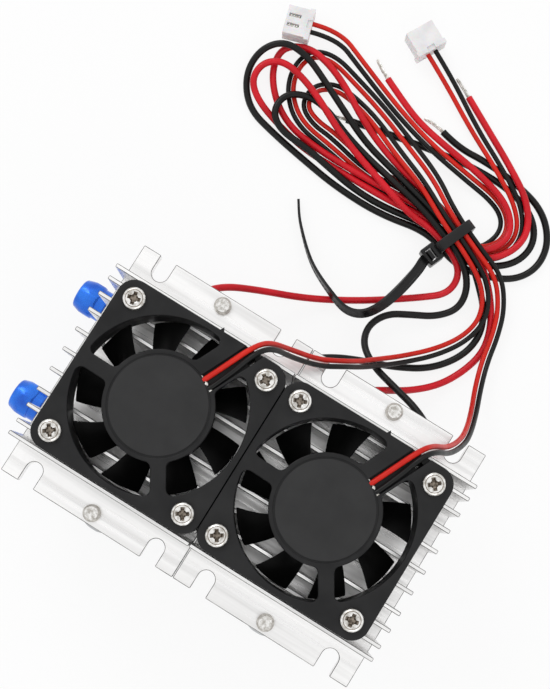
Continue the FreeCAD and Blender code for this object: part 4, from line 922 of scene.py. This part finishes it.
def makeTie():
    # the band's outline stands in the plane across the bundle, so it is drawn flat and tipped up
    low, high, bottom, top = tie["low"], tie["high"], tie["bottom"], tie["top"]
    thickness, corner, bandHalf = tie["thickness"], tie["corner"], tie["width"] / 2
    outer = roundedBox(low - thickness, bottom - thickness, high + thickness, top + thickness,
                       corner + thickness, 6)
    band = prism([outer, roundedBox(low, bottom, high, top, corner, 6)], -bandHalf, bandHalf)
    bevelEdges(band, tie["edge"], 2, 60)
    place(band, Matrix(((0, 0, 1, 0), (1, 0, 0, 0), (0, 1, 0, 0), (0, 0, 0, 1))))
    near, middle = low - thickness, (bottom + top) / 2
    far = near - tie["headLength"]
    wide, tall = tie["headWidth"] / 2, tie["headHeight"] / 2
    head = cuboid((-wide, far, middle - tall), (wide, near + thickness / 2, middle + tall))
    slotHalf, farWall, nearWall = tie["slot"]
    slot = cuboid((-slotHalf, far + farWall, middle - 5 * mm), (slotHalf, near - nearWall, middle + 5 * mm))
    head = bevelEdges(combine(head, [slot], "DIFFERENCE"), tie["headEdge"], 3, 40)
    pawlHalf, farEnd, nearEnd, below, above = tie["pawl"]
    pawl = cuboid((-pawlHalf, far + farEnd, middle - below), (pawlHalf, near - nearEnd, middle + above))
    bevelEdges(pawl, 0.2 * mm, 2, 40)
    toBundle = Matrix.Translation((seamX + tie["place"][0], tie["place"][1], 0)) @ turnZ(tie["direction"])
    loop = place(joined([band, head, pawl]), toBundle)
    return finishPiece(joined([loop, makeTail()]), "cable_tie", "module", ("tie",))


# Wires

wire = {
    # diameters of the cooler wires and of the fan leads
    "cooler": 1.7 * mm,
    "fan": 1.2 * mm,
    "tip": 0.45 * mm,
    "tipLength": 5.5 * mm,
    "tipSeat": 0.4 * mm,
    "tipSteps": 30,
    "strands": 5,
    # share of the tip's radius that the grooves between strands keep
    "grooveShare": 0.62,
    # tinned ends: twist of the strands per step in degrees, and how far the end bends to its left
    "tips": {"tec_wire_red_left": (2, 0.1 * mm), "tec_wire_black_left": (13, 1.0 * mm),
             "tec_wire_red_right": (15, -0.5 * mm), "tec_wire_black_right": (15, 0.3 * mm)},
    # look and record slot of each kind
    "kinds": {"tec_wire_red": ("powerRed", "wire_red"), "tec_wire_black": ("wireBlack", "wire_black"),
              "fan_wire_red": ("leadRed", "lead_red"), "fan_wire_black": ("wireBlack", "wire_black")},
    # lengths in metres, measured along the routes of the solids
    "lengths": {"tec_wire_red_left": 0.2802, "tec_wire_black_left": 0.3017,
                "tec_wire_red_right": 0.2826, "tec_wire_black_right": 0.2839,
                "fan_wire_red_left": 0.3063, "fan_wire_red_right": 0.2996,
                "fan_wire_black_left": 0.3095, "fan_wire_black_right": 0.3100},
}

# Routes in mm: x from the seam between the sinks, y, height; the same points as the solids
wireRoutes = {
    "tec_wire_red_left": (
        (-31, 18.5, 18.3), (-31, 22.6, 18.3), (-29.4, 28, 16), (-26.2, 32.6, 12.2), (-19.6, 36.6, 7.4),
        (-9.4, 41.4, 2.6), (0.6, 47.2, 0.95), (8.4, 52.4, 0.95), (14.8, 57, 1.2), (19.3, 60.6, 1.7),
        (19.9, 65.2, 2.3), (17, 68.7, 3.95), (8.2, 71.9, 4), (1.6, 72, 4.6), (-7.6, 75, 4.6),
        (-17, 78.2, 3.6), (-24.4, 81.2, 3.5), (-31.6, 84.8, 4.5), (-38.6, 87.8, 3.3), (-44.4, 88.6, 3.7),
        (-48.4, 85.7, 3.6), (-48.6, 80.6, 3.2), (-44.4, 77.2, 2), (-37, 74.9, 0.95), (-28.4, 73, 0.95),
        (-18, 73.1, 0.95), (-5, 72.7, 2.3), (8.9, 73.9, 3.55), (18.2, 70.2, 3.5), (24.4, 73.6, 2.7),
        (27.9, 78.6, 3), (28.2, 84.2, 3), (24, 90.4, 3.2), (15.8, 95.9, 2.2), (6.6, 101.3, 0.95),
        (-1.2, 105.6, 0.95),
    ),
    "tec_wire_black_left": (
        (-5, 18.5, 18.3), (-5, 22.6, 18.3), (-0.4, 28, 15.8), (4.4, 32, 12), (10.2, 35.4, 6.6),
        (17.6, 38.6, 2.6), (25.2, 43, 1), (30.2, 49.4, 0.95), (31.6, 56, 0.95), (29.2, 62, 1.8),
        (23.8, 67.2, 3.4), (18.6, 71.1, 5.4), (9.3, 74.8, 5.35), (0.6, 77.2, 4.4), (-8, 79.8, 2.6),
        (-16.8, 82.2, 1.9), (-26.2, 86.4, 3.1), (-33.6, 90.2, 2.4), (-40, 92.9, 3.2), (-46.6, 93, 4.2),
        (-50.8, 88.2, 3.4), (-50.8, 81.2, 1.6), (-45.6, 74.6, 0.95), (-36.6, 72.4, 0.95),
        (-27.6, 70.8, 0.95), (-17, 69.2, 0.95), (-4.4, 69, 0.95), (7.9, 71.3, 2), (17.2, 67.7, 2),
        (25.4, 69.4, 0.95), (31.8, 72.6, 0.95), (34.9, 78.2, 0.95), (33.9, 85, 0.95), (28.4, 90.9, 0.95),
        (19.6, 93.2, 0.95), (10.6, 93.9, 0.95), (3, 93.4, 0.95), (-2.1, 94.8, 0.95),
    ),
    "tec_wire_red_right": (
        (9, 18.5, 18.3), (9, 22.6, 18.3), (13.8, 28.2, 15.4), (18.4, 31.8, 10.2), (23.6, 35.4, 4.6),
        (29, 40.6, 1.5), (32.4, 46.6, 0.95), (34.2, 53.2, 0.95), (32.6, 59.6, 1.4), (28.6, 65.4, 3),
        (24, 69.7, 4.3), (19.2, 72.8, 5.4), (9.9, 76.5, 5.3), (2.6, 78.8, 3.4), (-6, 81, 2.4),
        (-13.6, 83.6, 2.2), (-20.8, 86.8, 3), (-28, 91.4, 2.4), (-35, 94.4, 2.3), (-41.2, 95.3, 2.2),
        (-46.6, 92.2, 1.8), (-46.2, 86.4, 1.2), (-41.8, 80.4, 1), (-35, 76.1, 0.95), (-26, 74.8, 1.2),
        (-16, 74.4, 2.6), (-4, 75, 2.4), (9.6, 75.6, 3.55), (18.9, 71.9, 3.55), (24, 76.6, 3.5),
        (24.9, 82, 2.5), (20.2, 87.2, 2.9), (10.4, 90, 2.9), (0, 91.6, 2.7), (-8, 93.6, 1.2),
        (-14.4, 96.2, 0.95), (-20.5, 99.1, 0.95),
    ),
    "tec_wire_black_right": (
        (36, 18.5, 18.3), (36, 22.6, 18.3), (32.4, 28.4, 16.8), (26.8, 31.6, 14.4), (19.6, 33.6, 11.6),
        (13.4, 35.4, 9.4), (8.6, 38.8, 6.6), (7.2, 43.8, 4), (9.6, 48.8, 2.8), (14.6, 51.6, 2.9),
        (20, 54.6, 1.6), (23.8, 59.2, 1.6), (22.8, 64.8, 3.1), (17.9, 69.4, 5.35), (8.6, 73.1, 5.35),
        (1, 75.4, 4.8), (-6.6, 77.2, 3.8), (-14.6, 79.2, 2.3), (-22.4, 81.7, 1.4), (-28.8, 84.2, 2.45),
        (-34.4, 84.9, 2.3), (-39.6, 82.4, 2.5), (-40.2, 77, 2.9), (-36, 73.6, 2.9), (-27.6, 73.2, 2.9),
        (-19.5, 71.7, 2.7), (-13, 71, 1.2), (-4.6, 71, 0.95), (8.5, 73, 2), (17.8, 69.3, 2),
        (24.9, 71.9, 0.95), (30, 76.4, 0.95), (31.2, 82.6, 0.95), (27.4, 88.2, 0.95), (19.8, 90.9, 0.95),
        (10, 91.2, 0.95), (0, 89.8, 0.95), (-12, 87.6, 0.95), (-23.8, 84.9, 0.95),
    ),
    "fan_wire_red_left": (
        (-15.16, 9.17, 49.55), (-12.9, 14, 49.6), (-10.1, 20.2, 50.5), (-8, 23.6, 45.6),
        (-3.8, 25.6, 36.4), (2.2, 27.8, 28.4), (6.6, 30.6, 24.8), (9.9, 33.4, 18.2), (12.6, 36.4, 12.2),
        (17.6, 41.2, 5.6), (24, 47.8, 2.2), (28.2, 54.2, 1.6), (29.2, 60.2, 3.2), (25.6, 66.2, 5.2),
        (18.2, 70.2, 6.95), (8.9, 74.3, 6.95), (0.4, 79.4, 5.4), (-9, 83.2, 3.3), (-18, 87.4, 2.5),
        (-25.6, 89.8, 0.8), (-30.6, 89.9, 0.65), (-34.2, 87.2, 0.65), (-34, 82.9, 0.65),
        (-29.9, 81, 0.65), (-24, 80.6, 0.65), (-13, 78, 0.65), (-1, 78.9, 0.9), (10.1, 77.2, 3.05),
        (19.4, 73.3, 3.05), (24.1, 78.6, 1.3), (23.2, 84, 0.65), (18, 87.6, 0.65), (8, 88.5, 2.4),
        (-3.6, 90.4, 2.5), (-15, 94.4, 0.9), (-28, 99.6, 1), (-36.6, 102.7, 2.5), (-43.3, 100.7, 2.5),
    ),
    "fan_wire_red_right": (
        (25.04, 9.17, 49.55), (27.3, 14, 49.6), (30.1, 20.2, 50.5), (32.2, 23, 46.6), (35.2, 24.8, 38.6),
        (37.4, 27.8, 30.6), (38.6, 31.6, 22.6), (38.2, 37.6, 12.8), (36.4, 44.6, 5.4), (34.8, 51.2, 2.9),
        (33.8, 57.6, 2.9), (31.8, 63.8, 3.2), (27.2, 69.6, 5.6), (19.2, 72.6, 6.95), (9.9, 76.9, 6.85),
        (2.2, 82.4, 4.6), (-8, 86.9, 2.8), (-18, 91, 1.6), (-26.6, 93.8, 0.65), (-34.4, 95.9, 0.65),
        (-39.4, 94.4, 0.65), (-40.8, 89.6, 0.65), (-38.8, 83.6, 0.65), (-33, 78.7, 0.65),
        (-23.2, 77.3, 0.65), (-12, 75.2, 0.65), (0, 75.8, 0.65), (9.6, 75.7, 1.75), (18.9, 72, 1.75),
        (25.2, 76.2, 0.9), (26.6, 82.2, 1.1), (22.8, 87.5, 2.5), (14.2, 92.8, 2.9), (3.6, 98.6, 1.4),
        (-8.2, 105.4, 2.5), (-15.2, 109.1, 2.5),
    ),
    "fan_wire_black_left": (
        (-13.2, 8.26, 49.55), (-11.2, 12.8, 49.6), (-8.8, 19.95, 50.6), (-6.5, 22.9, 46.2),
        (-2.8, 24.2, 36.8), (3.2, 26.6, 28.8), (7.8, 29.8, 25.4), (11.1, 32.6, 18.2), (13.9, 35.4, 12.2),
        (18.8, 40.2, 5.6), (25.2, 46.8, 2.2), (29.6, 53.8, 1.6), (30.6, 60.6, 3.4), (26.6, 67.4, 5.3),
        (18.7, 71.4, 6.9), (9.4, 75.5, 6.9), (0.9, 80.6, 5), (-8.4, 84.6, 3.2), (-17.4, 88.8, 2.2),
        (-25.8, 91.2, 0.65), (-31, 91.3, 0.65), (-35.4, 88, 0.65), (-35.3, 82.3, 0.65),
        (-30.3, 79.6, 0.65), (-24.6, 79.2, 0.65), (-13.2, 76.5, 0.65), (-1, 77.2, 0.65),
        (10.1, 76.9, 1.75), (19.4, 73.2, 1.75), (22.5, 78.9, 0.65), (21.8, 83.4, 0.65),
        (17.4, 86.2, 0.65), (7.8, 87.1, 2.4), (-4, 89.1, 2.8), (-15.4, 93, 0.9), (-28.4, 98, 1),
        (-36, 100.7, 2.5), (-42.7, 98.7, 2.5),
    ),
    "fan_wire_black_right": (
        (27, 8.26, 49.55), (29, 12.8, 49.6), (31.4, 20, 50.6), (33.9, 22.6, 46.6),
        (36.4, 24, 38.8), (38.6, 27.2, 30.6), (39.9, 31.2, 22.6), (39.5, 37.6, 12.8), (37.7, 45, 5.4),
        (36.1, 51.6, 2.9), (35.1, 58, 2.9), (33, 64.6, 3.3), (28.2, 70.8, 5.4), (19.6, 73.8, 6.4),
        (10.3, 78.2, 6.3), (2.8, 83.8, 4.4), (-7.4, 88.3, 2.8), (-17.4, 92.4, 1.4), (-26.2, 95.2, 0.65),
        (-34.6, 97.5, 0.65), (-40.6, 95.4, 0.65), (-42.1, 89.4, 0.65), (-39.8, 82.8, 0.65),
        (-33.6, 77.4, 0.65), (-23.5, 76, 0.65), (-12.2, 73.9, 0.65), (0, 74.5, 0.65), (9.1, 74.4, 1.75),
        (18.4, 70.8, 1.75), (26.1, 74.5, 0.65), (28.1, 81.9, 1.1), (24, 88.4, 2.7), (15.2, 93.9, 2.8),
        (4.8, 99.7, 1.4), (-7.2, 107.2, 2.5), (-14.2, 110.9, 2.5),
    ),
}

def routeOf(node):
    return [(x * mm + seamX, y * mm, z * mm) for x, y, z in wireRoutes[node]]


def makeWire(node, diameter):
    look, slotName = wire["kinds"][node.rsplit("_", 1)[0]]
    name, route = pieceName(node), routeOf(node)
    curve = bpy.data.curves.new(name, "CURVE")
    curve.dimensions = "3D"
    curve.bevel_depth = diameter / 2
    curve.bevel_resolution = 4
    curve.use_fill_caps = True
    spline = curve.splines.new("NURBS")
    spline.points.add(len(route) - 1)
    for point, spot in zip(spline.points, route):
        point.co = (*spot, 1)
    spline.order_u = 3
    spline.use_endpoint_u = True
    spline.resolution_u = 8
    curve.materials.append(looks[look])
    obj = bpy.data.objects.new(name, curve)
    bpy.context.scene.collection.objects.link(obj)
    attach(obj, "module")
    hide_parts(node)
    return obj


def makeTip(node):
    # tinned strands: a deeply fluted rod that twists along its length and bends a little to one side
    before, end = (Vector(spot) for spot in routeOf(node)[-2:])
    along = (end - before).normalized()
    start = end - along * wire["tipSeat"]
    length = wire["tipLength"] + wire["tipSeat"]
    twist, bend = wire["tips"][node]
    steps, strands, kept = wire["tipSteps"], wire["strands"], wire["grooveShare"]
    bm = bmesh.new()
    made = bmesh.ops.create_circle(bm, cap_ends=True, segments=strands * 8, radius=1)
    for vert in made["verts"]:
        angle = math.atan2(vert.co.y, vert.co.x)
        vert.co *= wire["tip"] * (kept + (1 - kept) * abs(math.cos(angle * strands / 2)))
    faces = bm.faces[:]
    for step in range(steps):
        pulled = bmesh.ops.extrude_face_region(bm, geom=faces)
        verts = [item for item in pulled["geom"] if isinstance(item, bmesh.types.BMVert)]
        bmesh.ops.translate(bm, verts=verts, vec=(0, 0, length / steps))
        bmesh.ops.rotate(bm, verts=verts, cent=(0, 0, 0), matrix=turnZ(twist).to_3x3())
        if step > steps - 4:
            bmesh.ops.scale(bm, verts=verts, vec=(0.9, 0.9, 1))
        if step:
            bmesh.ops.delete(bm, geom=faces, context="FACES_ONLY")
        faces = [item for item in pulled["geom"] if isinstance(item, bmesh.types.BMFace)]
    bmesh.ops.recalc_face_normals(bm, faces=bm.faces)
    place(bm, Matrix.Translation(start) @ along.to_track_quat("Z", "Y").to_matrix().to_4x4())
    sideways = Vector((-along.y, along.x, 0)).normalized()
    for vert in bm.verts:
        vert.co += sideways * bend * (max(0, (vert.co - start).dot(along)) / length) ** 2
    return finishPiece(bm, node + "_tip", "module", ("tinned",), ["wire_tips"], 60)


# Solder pads where each fan's lead meets the board's edge
solder = {
    "along": 10.55 * mm,
    "depth": 0.5 * mm,
    "shape": (1, 1.25, 0.7),
    # place across the channel and radius of each blob
    "spots": ((-0.2 * mm, 0.42 * mm), (1.55 * mm, 0.5 * mm), (3.3 * mm, 0.45 * mm), (4.0 * mm, 0.36 * mm)),
}


def makeSolder(side):
    low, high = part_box("fan_frame_" + side)
    blobs = []
    for across, radius in solder["spots"]:
        blob = bmesh.new()
        bmesh.ops.create_uvsphere(blob, u_segments=16, v_segments=10, radius=radius)
        bmesh.ops.scale(blob, verts=blob.verts, vec=solder["shape"])
        bmesh.ops.translate(blob, verts=blob.verts, vec=(solder["along"], -across, high.z - solder["depth"]))
        blobs.append(blob)
    bm = place(joined(blobs), Matrix.Translation((low.x + fan["half"], 0, 0)) @ turnZ(fan["channelAngle"]))
    return finishPiece(bm, "solder_pads_" + side, "module", ("tinned",), [], 60)


for side in sides:
    makeFanFrame(side)
    makeRotor(side)
    makeFanScrews(side)
    makeSink(side)
    makeSolder(side)
makeClampScrews()
makeFitting("front", -1)
makeFitting("back", 1)
print("rigid pieces made")

connectors = {side: makeConnector(side) for side in sides}
cableTie = makeTie()
diameters = {node: wire["fan" if node.startswith("fan") else "cooler"] for node in wireRoutes}
wires = {node: makeWire(node, diameters[node]) for node in wireRoutes}
tips = {node: makeTip(node) for node in wire["tips"]}
for node, obj in wires.items():
    if node in tips:
        end, pieces = "bare", [tips[node]]
    else:
        end, pieces = "connector", list(connectors[node.split("_")[-1]])
    if node == "tec_wire_red_left":
        pieces.append(cableTie)
print("wires laid")


# Floor, light and camera

view = {
    "cameraFromSinks": (10.7346 * mm, -7.3870 * mm, 300.607 * mm),
    "sinkTops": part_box("heat_sink_left")[1].z,
    "turns": (-6.89016, 0.30994, -31.84195),
    "lens": 74.36,
    "lamps": (
        # name, place, aim, size, power in watts
        ("keyLamp", (-0.60, 0.50, 0.60), (0, 0.02, 0), 0.4, 2.0),
        ("fillLamp", (0.55, -0.50, 0.60), (0, 0.03, 0), 0.5, 0.9),
    ),
    "floorSize": 8,
    "floorGlow": 0.85,
    "skyLow": 0.45,
    "skyHigh": 0.95,
}


def seenAsBackground(owner):
    # 1 for camera rays and for those that metal and glass send out, 0 for the light itself
    rays = addNode(owner, "LightPath")
    first, second = addNode(owner, "Math"), addNode(owner, "Math")
    first.operation = second.operation = "MAXIMUM"
    link(owner, rays.outputs["Is Camera Ray"], first.inputs[0])
    link(owner, rays.outputs["Is Glossy Ray"], first.inputs[1])
    link(owner, first.outputs[0], second.inputs[0])
    link(owner, rays.outputs["Is Transmission Ray"], second.inputs[1])
    return second.outputs[0]


def makeFloor():
    bm = bmesh.new()
    bmesh.ops.create_grid(bm, x_segments=1, y_segments=1, size=view["floorSize"])
    mesh = bpy.data.meshes.new("floor")
    bm.to_mesh(mesh)
    bm.free()
    floor = bpy.data.objects.new("floor", mesh)
    bpy.context.scene.collection.objects.link(floor)
    material = bpy.data.materials.new("paperWhite")
    material.use_nodes = True
    material.node_tree.nodes.clear()
    paper = addNode(material, "BsdfDiffuse", Color=(0.93, 0.93, 0.93, 1))
    glow = addNode(material, "Emission")
    share = addNode(material, "Math")
    share.operation = "MULTIPLY"
    share.inputs[1].default_value = view["floorGlow"]
    mix = addNode(material, "MixShader")
    out = addNode(material, "OutputMaterial")
    link(material, seenAsBackground(material), share.inputs[0])
    link(material, share.outputs[0], mix.inputs["Fac"])
    link(material, paper.outputs[0], mix.inputs[1])
    link(material, glow.outputs[0], mix.inputs[2])
    link(material, mix.outputs[0], out.inputs["Surface"])
    mesh.materials.append(material)


def makeSky():
    # white to the camera and in reflections; for the light itself a dome that darkens to the horizon
    world = bpy.data.worlds.new("studio")
    bpy.context.scene.world = world
    world.use_nodes = True
    background = world.node_tree.nodes["Background"]
    background.inputs["Color"].default_value = (1, 1, 1, 1)
    where = addNode(world, "TexCoord")
    split = addNode(world, "SeparateXYZ")
    dome = addNode(world, "MapRange", From_Min=0, From_Max=0.9, To_Min=view["skyLow"], To_Max=view["skyHigh"])
    mix = addNode(world, "Mix", B=1)
    link(world, where.outputs["Generated"], split.inputs["Vector"])
    link(world, split.outputs["Z"], dome.inputs["Value"])
    link(world, dome.outputs["Result"], mix.inputs["A"])
    link(world, seenAsBackground(world), mix.inputs["Factor"])
    link(world, mix.outputs["Result"], background.inputs["Strength"])


def makeLamps():
    for name, spot, aim, size, power in view["lamps"]:
        light = bpy.data.lights.new(name, "AREA")
        light.size = size
        light.energy = power
        lamp = bpy.data.objects.new(name, light)
        lamp.location = spot
        lamp.rotation_euler = (Vector(spot) - Vector(aim)).to_track_quat("Z", "Y").to_euler()
        bpy.context.scene.collection.objects.link(lamp)


def makeCamera():
    camera = bpy.data.objects.new("camera", bpy.data.cameras.new("camera"))
    camera.data.lens = view["lens"]
    camera.data.sensor_width = 36
    camera.data.clip_start = 0.01
    toCamera = Matrix.Identity(3)
    for angle, axis in zip(view["turns"], "XYZ"):
        toCamera = toCamera @ Matrix.Rotation(math.radians(angle), 3, axis)
    x, y, z = view["cameraFromSinks"]
    spot = Matrix.Translation((x + seamX, y, z + view["sinkTops"]))
    camera.matrix_world = spot @ toCamera.transposed().to_4x4()
    bpy.context.scene.collection.objects.link(camera)
    bpy.context.scene.camera = camera


makeFloor()
makeSky()
makeLamps()
makeCamera()
bpy.context.scene.view_settings.view_transform = "Standard"
print("stage set")
